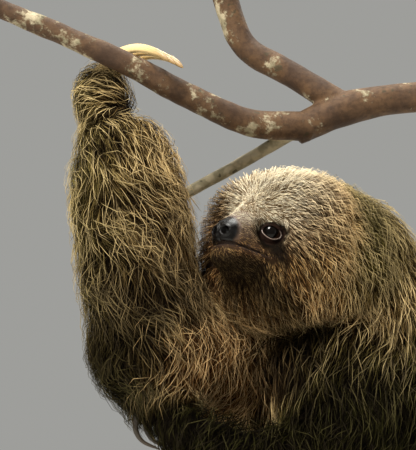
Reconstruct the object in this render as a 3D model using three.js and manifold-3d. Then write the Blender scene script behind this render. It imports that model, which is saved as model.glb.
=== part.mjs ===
// A brown-throated three-toed sloth, life size. Its right hand is hooked over a cut length of forked
// branch, its left arm lies across the belly, its feet hold a lower cut length, and a plain stand carries both.
//
// Units are millimetres and +Z is up. The origin is the middle of the base's underside.
// The animal's back is turned to +X +Y, and it looks towards -X -Y. Its own left and right name the limbs.
// The solids are the outline of the coat, out to the tips of the hair.

import * as THREE from 'three';
import { mergeVertices } from 'three/addons/utils/BufferGeometryUtils.js';
import Module from 'manifold-3d';

const wasm = await Module();
wasm.setup();

const at = (x, y, z) => new THREE.Vector3(x, y, z);

// ---------------------------------------------------------------- driving dimensions

const SEAM = 0.3; // clear gap between two solids that meet

// The animal's own directions. LEFT is from its right flank to its left one.
const LEFT = at(0.74, -0.67, 0).normalize();
const BELLYWARD = at(LEFT.y, -LEFT.x, 0);
const UP = at(0, 0, 1);

// Head: its middle, and the direction that the nose points in.
const HEAD_MIDDLE = at(36, -16, 540);
const FACING = at(-0.68, -0.705, 0.203).normalize();
const HEAD_SIDE = at(0, 0, 1).cross(FACING).normalize();
const HEAD_TOP = FACING.clone().cross(HEAD_SIDE).normalize();
const MUZZLE_ROOT = 38; // how far in front of the head's middle the muzzle starts
const NOSE_ROOT = 54;
const HEAD_CORNER = 2.25; // the coat makes the head a little squarer than an ellipse
const MOUTH_DROP = -11; // the mouth, below the head's middle line at the nose
const MOUTH_SLOPE = 0.11; // it falls by this share of the way back
const MOUTH_WIDTH = 0.6; // thickness of the parting between muzzle and jaw

const EYE = { radius: 8.4, forward: 21.6, aside: 13.9, above: 4.2 };
const SOCKET = { radius: 11.5, forward: 32, aside: 23.5, above: 5.2 }; // the hollow round each eye

// Limbs: the joints of the skeleton.
const SHOULDER = { right: at(8, 66, 474), left: at(77, 8, 461) };
const ELBOW = { right: at(-49, -10, 470), left: at(61, -34, 362) };
const WRIST = { right: at(-77, 8, 626), left: at(-18, -40, 404) };
const KNUCKLES = { right: at(-87, 25, 667), left: at(-50, -28, 430) };
const HIP_SPREAD = 40; // each hip joint, from the middle of the pelvis
const PELVIS = at(105, 53, 274);
const THIGH = 104;
const KNEE_SPLAY = 0.3;
const KNEE_RISE = 0.14;

// Half sizes of the coat round a leg, and the places along the foot, measured from its hold on the branch.
const LEG = { hip: 50, thigh: 44, knee: 35, shank: 30, ankle: 23 };
const ANKLE = { back: 22, above: 50 };
const INSTEP = { back: 7, above: 33, width: 20, depth: 17.5 };
const TOES = { back: -9, above: 25, width: 17, depth: 11.5 };

// Branches.
const PERCH = { middle: at(28, -22, 158), half: 100, radius: 13 };
const FOOT_SPACING = 46; // each foot, from the middle of the lower branch
const BRANCH_SIDES = 10;

// Claws: three on each hand and foot.
const CLAW = { thick: 2.3, deep: 3.6, tip: 0.55, pitch: 8.5, sides: 5, rings: 5 };
const SLIM = 0.55; // the left hand's claws are seen edge on and are this much slimmer
const FOOT_CURL = { clearance: 7, from: 84, to: -62, points: 6 }; // degrees round the lower branch

// Stand.
const BASE = { length: 430, width: 310, thick: 20, corner: 40, bevel: 3 };
const ROD = { radius: 5, flange: 16, flangeThick: 4, saddle: 9, saddleHeight: 16, taper: 10 };
const BRANCH_ROD = { x: -190, y: -5, top: 727 };

// ---------------------------------------------------------------- finishes

const finish = (color, roughness, metalness = 0) => ({ color, roughness, metalness });
const COAT = finish(0x6b5a3c, 0.95);
const FACE_COAT = finish(0xb59a72, 0.95);
const BARE_SKIN = finish(0x3b3230, 0.6);
const EYE_GLOSS = finish(0x1a100c, 0.1);
const HORN = finish(0xb7a077, 0.5);
const BARK = finish(0x7d5442, 0.8);
const BASE_WOOD = finish(0x2b2622, 0.45);
const ROD_STEEL = finish(0x2a2a2c, 0.4, 0.8);

// ---------------------------------------------------------------- solids

// A three.js geometry as a solid that can be cut and joined.
function solidOf(geometry) {
  const bare = geometry.clone();
  bare.deleteAttribute('normal');
  bare.deleteAttribute('uv');
  const merged = mergeVertices(bare, 1e-4);
  const mesh = new wasm.Mesh({
    numProp: 3,
    vertProperties: new Float32Array(merged.attributes.position.array),
    triVerts: new Uint32Array(merged.index.array),
  });
  return new wasm.Manifold(mesh);
}

function geometryOf(solid) {
  const mesh = solid.getMesh();
  const geometry = new THREE.BufferGeometry();
  geometry.setAttribute('position', new THREE.BufferAttribute(mesh.vertProperties, 3));
  geometry.setIndex(new THREE.BufferAttribute(mesh.triVerts, 1));
  geometry.computeVertexNormals();
  return geometry;
}

// One ring of the limb's outline: an ellipse, or a squarer loop where `corner` is above 2.
function ringPoints(section, across, { sides, grow, corner }) {
  const side = across.clone().addScaledVector(section.along, -across.dot(section.along)).normalize();
  const depth = section.along.clone().cross(side);
  const points = [];
  for (let i = 0; i < sides; i += 1) {
    const turn = (i / sides) * 2 * Math.PI;
    const bulge = (Math.abs(Math.cos(turn)) ** corner + Math.abs(Math.sin(turn)) ** corner) ** (-1 / corner);
    points.push(
      section.centre
        .clone()
        .addScaledVector(side, (section.width + grow) * bulge * Math.cos(turn))
        .addScaledVector(depth, (section.depth + grow) * bulge * Math.sin(turn)),
    );
  }
  return points;
}

// The rings that round off one end of a limb. `way` is -1 at the start and 1 at the far end.
function domeSections(end, way, bulge, grow) {
  const steps = 3;
  const sections = [];
  const reach = bulge * Math.min(end.width, end.depth) + grow;
  for (let i = 1; i < steps; i += 1) {
    const turn = (i / steps) * (Math.PI / 2);
    sections.push({
      centre: end.centre.clone().addScaledVector(end.along, way * reach * Math.sin(turn)),
      along: end.along,
      width: end.width * Math.cos(turn),
      depth: end.depth * Math.cos(turn),
    });
  }
  return { sections, apex: end.centre.clone().addScaledVector(end.along, way * reach) };
}

// A closed tube with elliptical sections round a smooth path. Each station is [centre, width, depth], as half
// sizes: the width lies along `across`. `domes` gives how far each end bulges, as a share of its half size.
function tubeGeometry(stations, { across, sides = 12, rings = 5, domes = [1, 1], grow = 0, corner = 2 }) {
  const path = new THREE.CatmullRomCurve3(stations.map(([centre]) => centre), false, 'catmullrom', 0.5);
  const sizes = new THREE.CatmullRomCurve3(
    stations.map(([, width, depth = width]) => at(width, depth, 0)),
    false,
    'catmullrom',
    0.5,
  );
  const body = [];
  for (let i = 0; i <= rings; i += 1) {
    const size = sizes.getPoint(i / rings);
    body.push({
      centre: path.getPoint(i / rings),
      along: path.getTangent(i / rings),
      width: size.x,
      depth: size.y,
    });
  }
  const start = domeSections(body[0], -1, domes[0], grow);
  const end = domeSections(body[rings], 1, domes[1], grow);
  const sections = [
    ...(domes[0] > 0 ? start.sections.reverse() : []),
    ...body,
    ...(domes[1] > 0 ? end.sections : []),
  ];
  const rows = sections.map((section) => ringPoints(section, across, { sides, grow, corner }));
  return closedRows(rows, start.apex, end.apex);
}

// Joins rows of points, each a loop of the same count, into a closed surface with a point at each end.
function closedRows(rows, startPoint, endPoint) {
  const sides = rows[0].length;
  const points = [startPoint, ...rows.flat(), endPoint];
  const last = points.length - 1;
  const vertex = (row, side) => 1 + row * sides + (side % sides);
  const faces = [];
  for (let side = 0; side < sides; side += 1) {
    faces.push(0, vertex(0, side + 1), vertex(0, side));
    faces.push(last, vertex(rows.length - 1, side), vertex(rows.length - 1, side + 1));
    for (let row = 0; row < rows.length - 1; row += 1) {
      faces.push(vertex(row, side), vertex(row, side + 1), vertex(row + 1, side + 1));
      faces.push(vertex(row, side), vertex(row + 1, side + 1), vertex(row + 1, side));
    }
  }
  const geometry = new THREE.BufferGeometry();
  const coordinates = points.flatMap((point) => point.toArray());
  geometry.setAttribute('position', new THREE.Float32BufferAttribute(coordinates, 3));
  geometry.setIndex(faces);
  return geometry;
}

// A tube that is made twice: at its own size, and one seam larger as the tool that cuts its neighbours.
function tube(stations, options) {
  return {
    solid: solidOf(tubeGeometry(stations, options)),
    tool: solidOf(tubeGeometry(stations, { ...options, grow: SEAM })),
  };
}

// The piece that is left of `shape` after its neighbours have been cut out of it. Crumbs are dropped.
function cutBy(shape, ...neighbours) {
  return largestOf(neighbours.reduce((solid, neighbour) => solid.subtract(neighbour.tool), shape.solid));
}

function largestOf(solid) {
  return solid.decompose().reduce((largest, piece) => (piece.volume() > largest.volume() ? piece : largest));
}

const model = new THREE.Group();

function add(name, solid, look) {
  const mesh = new THREE.Mesh(geometryOf(solid), new THREE.MeshStandardMaterial(look));
  mesh.name = name;
  model.add(mesh);
}

// ---------------------------------------------------------------- branches

function branchTube(stations) {
  return tube(stations, { across: at(0, 1, 0), sides: BRANCH_SIDES, rings: 7, domes: [0, 0] });
}

const branchLimb = branchTube([
  [at(54, 38, 630), 11.5],
  [at(80, 40, 644), 12.5],
  [at(108, 40, 651), 11.5],
  [at(196, 38, 657), 10.5],
]);
const branchMain = branchTube([
  [at(-205, -6, 735), 6.5],
  [at(-158, -4, 711), 7],
  [at(-115, -2, 693), 7.5],
  [at(-66, 1, 671), 8.5],
  [at(-24, 11, 650), 9.2],
  [at(18, 26, 634), 10],
  [at(60, 38, 633), 11],
]);
const branchFork = branchTube([
  [at(84, 41, 648), 10],
  [at(46, 46, 672), 9.5],
  [at(14, 51, 693), 9.5],
  [at(-2, 52, 733), 9],
]);
const branchTwig = branchTube([
  [at(44, 38, 626), 4.6],
  [at(6, 49, 605), 4.5],
  [at(-31, 62, 586), 4.3],
]);
const perch = branchTube([
  [PERCH.middle.clone().addScaledVector(LEFT, -PERCH.half), PERCH.radius * 1.04],
  [PERCH.middle.clone().add(at(0, 0, 1.5)), PERCH.radius],
  [PERCH.middle.clone().addScaledVector(LEFT, PERCH.half), PERCH.radius * 0.9],
]);

add('branch_limb', branchLimb.solid, BARK);
add('branch_main', cutBy(branchMain, branchLimb), BARK);
add('branch_fork', cutBy(branchFork, branchLimb), BARK);
add('branch_twig', cutBy(branchTwig, branchLimb, branchMain), BARK);
add('perch_lower', perch.solid, BARK);

// ---------------------------------------------------------------- head

function inHead(forward, aside, above) {
  return HEAD_MIDDLE.clone()
    .addScaledVector(FACING, forward)
    .addScaledVector(HEAD_SIDE, aside)
    .addScaledVector(HEAD_TOP, above);
}

// A large block laid square to the head, filling the space between two depths or two heights.
function headBlock(forward, above, tilt = 0) {
  const size = 300;
  const geometry = new THREE.BoxGeometry(size, size, size);
  geometry.translate(size / 2, 0, size / 2);
  geometry.rotateY(tilt);
  const turn = new THREE.Matrix4().makeBasis(FACING, HEAD_SIDE, HEAD_TOP);
  turn.setPosition(inHead(forward, 0, above));
  geometry.applyMatrix4(turn);
  return solidOf(geometry);
}

// Half width, half height and rise of the head's outline, from the nape to the nose.
const HEAD_SECTIONS = [
  { forward: -50, width: 24, height: 28, rise: 0 },
  { forward: -40, width: 40, height: 43, rise: 0 },
  { forward: -24, width: 51, height: 53, rise: 0 },
  { forward: -6, width: 54, height: 55, rise: 1 },
  { forward: 10, width: 56, height: 55.5, rise: 2 },
  { forward: 20, width: 55, height: 54, rise: 2 },
  { forward: 26, width: 49, height: 48, rise: 2 },
  { forward: 29, width: 32, height: 38, rise: 0 },
  { forward: 31.5, width: 20, height: 30, rise: 0 },
  { forward: 37, width: 17.5, height: 24.5, rise: -1 },
  { forward: 44, width: 15.5, height: 18.5, rise: -4 },
  { forward: 51, width: 13.5, height: 13.5, rise: -4.5 },
  { forward: 56.5, width: 10.5, height: 10, rise: -4.5 },
];

const headTube = tube(
  HEAD_SECTIONS.map(({ forward, width, height, rise }) => [inHead(forward, 0, rise), width, height]),
  { across: HEAD_SIDE, sides: 16, rings: 12, domes: [0.5, 0.55], corner: HEAD_CORNER },
);

// The face is so flat that its tool is pushed forward as well, to keep the seam in front of it.
headTube.tool = headTube.tool.add(headTube.solid.translate(FACING.clone().multiplyScalar(2 * SEAM).toArray()));

function ballInHead({ radius, forward, aside, above }, way, grow = 0) {
  const geometry = new THREE.SphereGeometry(radius + grow, 10, 7);
  geometry.translate(...inHead(forward, way * aside, above).toArray());
  return solidOf(geometry);
}

const sockets = [];
for (const [name, way] of [['left', 1], ['right', -1]]) {
  add(`eye_${name}`, ballInHead(EYE, way), EYE_GLOSS);
  sockets.push({ tool: ballInHead(SOCKET, way) }, { tool: ballInHead(EYE, way, SEAM) });
}

const BELOW_ALL = -150;
const mouthTilt = Math.atan(-MOUTH_SLOPE);
const muzzleHalf = headBlock(MUZZLE_ROOT, BELOW_ALL);
const noseHalf = headBlock(NOSE_ROOT, BELOW_ALL);
const mouthAtRoot = MOUTH_DROP - MOUTH_SLOPE * (NOSE_ROOT - MUZZLE_ROOT);
const aboveMouth = headBlock(MUZZLE_ROOT, mouthAtRoot, mouthTilt);
const jawTop = headBlock(MUZZLE_ROOT - SEAM, mouthAtRoot - MOUTH_WIDTH, mouthTilt);
const snout = headTube.solid.intersect(headBlock(MUZZLE_ROOT + SEAM, BELOW_ALL));

add('head', cutBy(headTube, { tool: muzzleHalf }, ...sockets), FACE_COAT);
add('jaw', largestOf(snout.subtract(jawTop)), FACE_COAT);
const upperSnout = snout.intersect(aboveMouth);
add('muzzle', largestOf(upperSnout.subtract(noseHalf)), BARE_SKIN);
add('nose', upperSnout.intersect(headBlock(NOSE_ROOT + SEAM, BELOW_ALL)), BARE_SKIN);

// ---------------------------------------------------------------- neck, trunk and tail

const neck = tube(
  [
    [at(44, -4, 538), 50, 50],
    [at(60, 16, 534), 56, 56],
    [at(80, 42, 526), 62, 61],
  ],
  { across: HEAD_SIDE, rings: 5 },
);

const trunk = tube(
  [
    [at(84, 46, 512), 64, 60],
    [at(90, 48, 480), 77, 69],
    [at(95, 49, 438), 83, 74],
    [at(100, 50, 392), 86, 77],
    [at(104, 53, 340), 86, 78],
    [at(105, 53, 290), 78, 72],
    [at(104, 52, 258), 62, 58],
  ],
  { across: LEFT, sides: 16, rings: 8, domes: [0.6, 0.7] },
);

const tail = tube(
  [
    [at(138, 88, 262), 17, 14],
    [at(152, 104, 244), 14, 11],
    [at(160, 113, 224), 9, 7.5],
  ],
  { across: LEFT, sides: 10, rings: 4 },
);

// The trunk is parted into chest, belly and rump at two level cuts.
const CHEST_BOTTOM = 412;
const BELLY_BOTTOM = 318;
function levelBlock(low, high) {
  const size = 600;
  const geometry = new THREE.BoxGeometry(size, size, high - low);
  geometry.translate(0, 0, (low + high) / 2);
  return solidOf(geometry);
}
const trunkRest = cutBy(trunk, neck, headTube);
add('neck', cutBy(neck, headTube), COAT);
add('chest', trunkRest.intersect(levelBlock(CHEST_BOTTOM, 700)), COAT);
add('belly', trunkRest.intersect(levelBlock(BELLY_BOTTOM, CHEST_BOTTOM - SEAM)), COAT);
add('rump', trunkRest.intersect(levelBlock(100, BELLY_BOTTOM - SEAM)), COAT);
add('tail', cutBy(tail, trunk), COAT);

// ---------------------------------------------------------------- claws

// Three claws side by side, each cut off where it comes out of the coat. `route` gives the middle one's line,
// `step` the way from one to the next, `plane` the direction across each claw's flat side, and `size` how
// thick they are against the other hands' and feet's.
function addClaws(name, { route, step, plane = step, size = 1 }, ...flesh) {
  for (const place of [-1, 0, 1]) {
    const count = route.length - 1;
    const stations = route.map((point, i) => {
      const taper = 1 - (i / count) ** 2.2;
      return [
        point.clone().addScaledVector(step, place * CLAW.pitch),
        CLAW.tip + (CLAW.thick * size - CLAW.tip) * taper,
        CLAW.tip + (CLAW.deep * size - CLAW.tip) * taper,
      ];
    });
    const claw = tube(stations, { across: plane, sides: CLAW.sides, rings: CLAW.rings, domes: [0, 0] });
    add(`claw_${name}_${place + 2}`, cutBy(claw, ...flesh), HORN);
  }
}

// Points on an arc in the plane of two directions, by angle in degrees.
function arcRoute(centre, first, second, radius, { from, to, points: count }) {
  const points = [];
  for (let i = 0; i < count; i += 1) {
    const turn = THREE.MathUtils.degToRad(from + ((to - from) * i) / (count - 1));
    points.push(
      centre
        .clone()
        .addScaledVector(first, radius * Math.cos(turn))
        .addScaledVector(second, radius * Math.sin(turn)),
    );
  }
  return points;
}

// ---------------------------------------------------------------- arms

const upperArm = {
  right: tube(
    [
      [SHOULDER.right, 56, 54],
      [SHOULDER.right.clone().lerp(ELBOW.right, 0.5), 52, 50],
      [ELBOW.right, 46, 46],
    ],
    { across: UP, rings: 5 },
  ),
  left: tube(
    [
      [SHOULDER.left, 50, 48],
      [at(82, -24, 412), 42, 42],
      [ELBOW.left, 36, 36],
    ],
    { across: at(1, 0, 0), rings: 5 },
  ),
};
const forearm = {
  right: tube(
    [
      [ELBOW.right, 44, 44],
      [at(-59, -9, 520), 42, 42],
      [at(-66, -7, 568), 40, 38],
      [at(-71, -1, 602), 38, 36],
      [WRIST.right.clone().add(at(2, -2, -5)), 31, 29],
    ],
    { across: at(1, 0, 0), rings: 7, domes: [1, 0.5] },
  ),
  left: tube(
    [
      [ELBOW.left, 35, 35],
      [at(22, -42, 380), 38, 37],
      [WRIST.left, 29, 29],
    ],
    { across: at(0, 1, 0), rings: 5 },
  ),
};
const hand = {
  right: tube(
    [
      [WRIST.right, 23, 23],
      [at(-85, 18, 648), 22.5, 20],
      [KNUCKLES.right, 18, 14],
    ],
    { across: at(1, 0.2, 0), sides: 12, rings: 4, domes: [1, 0.8] },
  ),
  left: tube(
    [
      [WRIST.left, 24, 24],
      [at(-35, -34, 418), 20, 18],
      [KNUCKLES.left, 16, 14],
    ],
    { across: at(0, 1, 0), sides: 12, rings: 4, domes: [1, 0.8] },
  ),
};

add('arm_upper_right', cutBy(upperArm.right, trunk, neck, headTube), COAT);
add('arm_upper_left', cutBy(upperArm.left, upperArm.right, trunk, neck, headTube), COAT);
add('arm_fore_right', cutBy(forearm.right, upperArm.right, trunk, neck, headTube), COAT);
add('arm_fore_left', cutBy(forearm.left, upperArm.left, upperArm.right, trunk), COAT);
add('hand_right', cutBy(hand.right, forearm.right, branchMain), COAT);
add('hand_left', cutBy(hand.left, forearm.left, upperArm.right, trunk), COAT);

const hook = {
  route: [at(-84, 25, 668), at(-72, 21, 679), at(-57, 9, 682), at(-43, -6, 677), at(-34, -12, 670)],
  step: at(0.574, 0.801, -0.168).normalize(),
};
addClaws('hand_right', hook, hand.right);

const curl = {
  route: [at(-51, -28, 432), at(-54, -27, 422), at(-54, -26, 414), at(-49, -25, 407), at(-38, -25, 402)],
  step: at(0.85, 0.52, 0.1).normalize(),
  plane: at(0, 1, 0.1),
  size: SLIM,
};
addClaws('hand_left', curl, hand.left, forearm.left, upperArm.right);

// ---------------------------------------------------------------- legs

function leg(name, way) {
  const hip = PELVIS.clone().addScaledVector(LEFT, way * HIP_SPREAD);
  const reach = BELLYWARD.clone().addScaledVector(LEFT, way * KNEE_SPLAY).addScaledVector(UP, KNEE_RISE);
  const knee = hip.clone().addScaledVector(reach.normalize(), THIGH);
  const hold = PERCH.middle.clone().addScaledVector(LEFT, way * FOOT_SPACING);
  const fromHold = ({ back, above }) => hold.clone().addScaledVector(BELLYWARD, -back).addScaledVector(UP, above);
  const ankle = fromHold(ANKLE);
  const thigh = tube(
    [
      [hip, LEG.hip],
      [hip.clone().lerp(knee, 0.5), LEG.thigh],
      [knee, LEG.knee],
    ],
    { across: LEFT, rings: 4 },
  );
  const shank = tube(
    [
      [knee, LEG.knee - 1],
      [knee.clone().lerp(ankle, 0.5), LEG.shank],
      [ankle, LEG.ankle],
    ],
    { across: LEFT, rings: 4 },
  );
  const foot = tube(
    [
      [ankle, LEG.ankle, LEG.ankle - 1],
      [fromHold(INSTEP), INSTEP.width, INSTEP.depth],
      [fromHold(TOES), TOES.width, TOES.depth],
    ],
    { across: LEFT, sides: 12, rings: 4, domes: [1, 0.8] },
  );
  add(`thigh_${name}`, cutBy(thigh, trunk, upperArm.left, forearm.left), COAT);
  add(`shank_${name}`, cutBy(shank, thigh, trunk), COAT);
  add(`foot_${name}`, cutBy(foot, shank, perch), COAT);
  const route = arcRoute(hold, BELLYWARD, UP, PERCH.radius + FOOT_CURL.clearance, FOOT_CURL);
  addClaws(`foot_${name}`, { route, step: LEFT }, foot);
}

leg('left', 1);
leg('right', -1);

// ---------------------------------------------------------------- stand

// A flat base with round corners and a small bevel along its top and bottom edges.
function baseGeometry() {
  const { length, width, thick, corner, bevel } = BASE;
  const x = length / 2 - bevel;
  const y = width / 2 - bevel;
  const outline = new THREE.Shape();
  outline.moveTo(-x + corner, -y);
  outline.lineTo(x - corner, -y);
  outline.absarc(x - corner, -y + corner, corner, -Math.PI / 2, 0);
  outline.absarc(x - corner, y - corner, corner, 0, Math.PI / 2);
  outline.absarc(-x + corner, y - corner, corner, Math.PI / 2, Math.PI);
  outline.absarc(-x + corner, -y + corner, corner, Math.PI, Math.PI * 1.5);
  const geometry = new THREE.ExtrudeGeometry(outline, {
    depth: thick - 2 * bevel,
    bevelThickness: bevel,
    bevelSize: bevel,
    bevelSegments: 1,
    curveSegments: 4,
  });
  geometry.translate(0, 0, bevel);
  return geometry;
}

// A round rod that rises from a flange on the base and ends in a wider saddle, cut to the branch it carries.
function rod({ x, y, top }) {
  const { radius, flange, flangeThick, saddle, saddleHeight, taper } = ROD;
  const floor = BASE.thick + SEAM;
  const profile = [
    [0, floor],
    [flange, floor],
    [flange, floor + flangeThick],
    [radius, floor + flangeThick * 2],
    [radius, top - saddleHeight - taper],
    [saddle, top - saddleHeight],
    [saddle, top],
    [0, top],
  ].map(([r, z]) => new THREE.Vector2(r, z));
  const geometry = new THREE.LatheGeometry(profile, 10);
  geometry.rotateX(Math.PI / 2);
  geometry.translate(x, y, 0);
  return { solid: solidOf(geometry) };
}

add('stand_base', solidOf(baseGeometry()), BASE_WOOD);
add('stand_rod_branch', cutBy(rod(BRANCH_ROD), branchMain), ROD_STEEL);
add('stand_rod_perch', cutBy(rod({ ...PERCH.middle, top: PERCH.middle.z }), perch), ROD_STEEL);

export default model;
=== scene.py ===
"""Looks of a three-toed sloth, a still life-size museum model that holds a branch and sits on a perch."""

import math

import bmesh
import bpy
import numpy as np
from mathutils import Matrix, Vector
from mathutils.kdtree import KDTree


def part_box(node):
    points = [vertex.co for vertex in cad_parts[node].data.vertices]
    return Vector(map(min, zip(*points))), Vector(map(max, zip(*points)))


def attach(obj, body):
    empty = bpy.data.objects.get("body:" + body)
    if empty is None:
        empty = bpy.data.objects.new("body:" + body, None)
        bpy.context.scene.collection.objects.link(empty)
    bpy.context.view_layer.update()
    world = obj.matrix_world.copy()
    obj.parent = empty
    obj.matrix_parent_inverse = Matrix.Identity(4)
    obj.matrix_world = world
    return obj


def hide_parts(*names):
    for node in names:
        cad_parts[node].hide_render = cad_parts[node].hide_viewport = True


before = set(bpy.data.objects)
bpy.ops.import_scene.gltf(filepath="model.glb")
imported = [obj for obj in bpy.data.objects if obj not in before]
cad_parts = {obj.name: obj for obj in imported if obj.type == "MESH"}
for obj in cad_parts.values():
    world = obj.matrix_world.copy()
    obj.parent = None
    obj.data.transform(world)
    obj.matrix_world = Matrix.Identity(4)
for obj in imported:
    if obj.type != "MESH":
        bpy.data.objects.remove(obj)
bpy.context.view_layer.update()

# Sizes are in millimetres and turn into metres only when a mesh is made.
MM = 0.001
UP = np.array([0.0, 0.0, 1.0])
RIGHT = np.array([1.0, 0.0, 0.0])
DICE = np.random.default_rng(31)


def unit(v):
    """Vectors, one or many, scaled to length 1."""
    return v / np.maximum(np.linalg.norm(v, axis=-1, keepdims=True), 1e-9)


def step(low, high, x):
    """0 below low, 1 above high, and a smooth rise between; the other way round if low is the bigger."""
    t = np.clip((x - low) / (high - low), 0.0, 1.0)
    return t * t * (3 - 2 * t)


def hump(x, middle, width):
    """A soft bump of height 1 at middle."""
    return np.exp(-(((x - middle) / width) ** 2))


# ---------------------------------------------------------------- where things are

# Places on the head are measured forward, to the animal's left and up from its middle. Folded places have the
# right half of the face laid on the left half.
HEAD_MIDDLE = np.array([36.0, -16.0, 540.0])
FACING = unit(np.array([-0.68, -0.705, 0.203]))
HEAD_SIDE = unit(np.cross(UP, FACING))
HEAD_TOP = np.cross(FACING, HEAD_SIDE)
HEAD_AXES = np.stack([FACING, HEAD_SIDE, HEAD_TOP])
EYE_MIDDLE = np.array([21.6, 13.9, 4.2])
EYE_RADIUS = 8.4
LID_THICK = 1.0
GAZE = unit(np.array([0.80, 0.60, 0.0]))
EYE_ASIDE = np.cross(UP, GAZE)
EYE_FRONT = EYE_MIDDLE + GAZE * EYE_RADIUS
OPENING = (0.9, -0.9)
SOCKET = np.array([32.0, 23.5, 5.0])
WHORL = np.array([36.5, 0.0, 26.0])
NOSTRIL = np.array([57.8, 4.7, -2.6])
NOSE_PAD = np.array([56.0, 0.0, -2.5])
MOUTH_CORNER = 25.0

# The body's own ways, to its left and ahead of its belly, and places on it.
LEFTWARD = unit(np.array([0.74, -0.67, 0.0]))
BELLYWARD = np.array([LEFTWARD[1], -LEFTWARD[0], 0.0])
BODY_MIDDLE = np.array([100.0, 50.0, 0.0])
SPINE = np.array([105.0, 53.0, 0.0])
THROAT = np.array([44.0, -20.0, 480.0])
CHEST = np.array([2.0, -20.0, 474.0])

# Each limb as a line of (x, y, z, radius), from the trunk outwards.
LIMBS = {
    "head": [(68, 17, 530, 52), (36, -16, 540, 50), (15, -38, 546, 30)],
    "neck": [(44, -4, 538, 40), (60, 16, 534, 52), (80, 42, 526, 62)],
    "trunk": [(84, 46, 512, 60), (95, 49, 438, 76), (103, 52, 350, 80), (105, 53, 262, 62)],
    "tail": [(128, 78, 270, 18), (150, 100, 246, 14), (161, 114, 222, 9)],
    "arm_right": [(8, 66, 474, 54), (-49, -10, 470, 45), (-66, -7, 568, 38), (-76, 6, 622, 29)],
    "hand_right": [(-77, 8, 626, 25), (-87, 25, 667, 18)],
    "arm_left": [
        (77, 8, 461, 48), (82, -24, 412, 42), (61, -34, 362, 36), (22, -42, 380, 38), (-18, -40, 404, 29),
    ],
    "hand_left": [(-18, -40, 404, 24), (-50, -28, 430, 16)],
    "leg_left": [(135, 26, 274, 48), (104, -23, 252, 38), (72, -34, 212, 24)],
    "leg_right": [(75, 80, 274, 48), (18, 56, 252, 38), (4, 28, 212, 24)],
    "foot_left": [(72, -34, 212, 22), (62, -52, 180, 15)],
    "foot_right": [(4, 28, 212, 22), (-8, 10, 180, 15)],
}
NAMES = list(LIMBS)

# The coat of each limb. depth: how far the skin lies inside the solid; middle: the limb's middle from front to
# back; density: tufts per square mm; length and width of a tuft; lift: how far it stands off the skin; stray,
# wave and swirl: turns in radians, each tuft's own, along a tuft, and shared by neighbours; lock and gap: how
# much tufts draw together and how many share one lock; parts: segments of a tuft.
COAT_KEYS = "depth middle density length width lift stray wave swirl lock gap parts".split()
COATS = {
    name: dict(zip(COAT_KEYS, values))
    for name, *values in (
        ("head", 7.5, -20, 1.0, 17, 0.39, 9, 0.15, 0.1, 0.16, 0.42, 3.4, 2),
        ("neck", 9, 10, 0.34, 28, 0.52, 13, 0.2, 0.3, 0.3, 0.4, 5, 3),
        ("trunk", 12, 50, 0.165, 38, 0.62, 16, 0.2, 0.36, 0.34, 0.4, 6, 3),
        ("tail", 6, 90, 0.20, 20, 0.7, 8, 0.25, 0.2, 0.2, 0.5, 6, 3),
        ("arm_right", 10, -5, 0.54, 29, 0.43, 14, 0.26, 0.45, 0.75, 0.25, 4, 3),
        ("hand_right", 6, 15, 0.55, 22, 0.44, 9, 0.2, 0.4, 0.4, 0.25, 4, 3),
        ("arm_left", 9, -40, 0.20, 32, 0.6, 15, 0.22, 0.34, 0.4, 0.4, 6, 3),
        ("hand_left", 5, -40, 0.26, 18, 0.56, 7, 0.3, 0.2, 0.3, 0.4, 5, 3),
        ("leg_left", 9, -20, 0.15, 30, 0.68, 12, 0.3, 0.28, 0.3, 0.45, 6, 3),
        ("leg_right", 9, 20, 0.15, 30, 0.68, 12, 0.3, 0.28, 0.3, 0.45, 6, 3),
        ("foot_left", 4, -60, 0.30, 14, 0.56, 5, 0.22, 0.15, 0.1, 0.3, 4, 2),
        ("foot_right", 4, -30, 0.30, 14, 0.56, 5, 0.22, 0.15, 0.1, 0.3, 4, 2),
    )
}


def in_head(points):
    """Points as distances forward, to the animal's left, and up from the middle of its head."""
    return (points - HEAD_MIDDLE) @ HEAD_AXES.T


def from_head(q):
    """The way back from in_head."""
    return q @ HEAD_AXES + HEAD_MIDDLE


def from_head_way(way):
    """Directions in the head's axes as directions in the model."""
    return way @ HEAD_AXES


def mirrored(q):
    """Head places folded on to the left half of the face."""
    return q * (1, 0, 1) + np.abs(q) * (0, 1, 0)


def along_line(points, line):
    """For each point: its place along the line from 0 to 1, its distance, the line's radius and way there."""
    line = np.array(line, float)
    best = np.full(len(points), np.inf)
    place, radius = np.zeros(len(points)), np.ones(len(points))
    way = np.zeros((len(points), 3))
    lengths = np.linalg.norm(np.diff(line[:, :3], axis=0), axis=1)
    starts = np.concatenate([[0], np.cumsum(lengths)])
    for k, length in enumerate(lengths):
        a, b = line[k, :3], line[k + 1, :3]
        t = np.clip((points - a) @ (b - a) / length**2, 0, 1)
        gap = np.linalg.norm(points - a - t[:, None] * (b - a), axis=1)
        near = gap < best
        best[near] = gap[near]
        place[near] = (starts[k] + t[near] * length) / starts[-1]
        radius[near] = line[k, 3] + t[near] * (line[k + 1, 3] - line[k, 3])
        way[near] = (b - a) / length
    return place, best, radius, way


def limb_shares(points):
    """How much of each limb every point belongs to; rows add up to 1."""
    closeness = []
    for name in NAMES:
        _, gap, radius, _ = along_line(points, LIMBS[name])
        closeness.append(-gap / radius * 9)
    closeness = np.stack(closeness, axis=1)
    shares = np.exp(closeness - closeness.max(axis=1, keepdims=True))
    return shares / shares.sum(axis=1, keepdims=True)


def coat_values(shares, key):
    """A value of COATS at each point, blended from limb to limb."""
    return shares @ np.array([COATS[name][key] for name in NAMES], float)


# ---------------------------------------------------------------- markings, the same on skin and coat


def widest(*masks):
    """The strongest of several masks at each point."""
    return np.maximum.reduce(masks)


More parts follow.
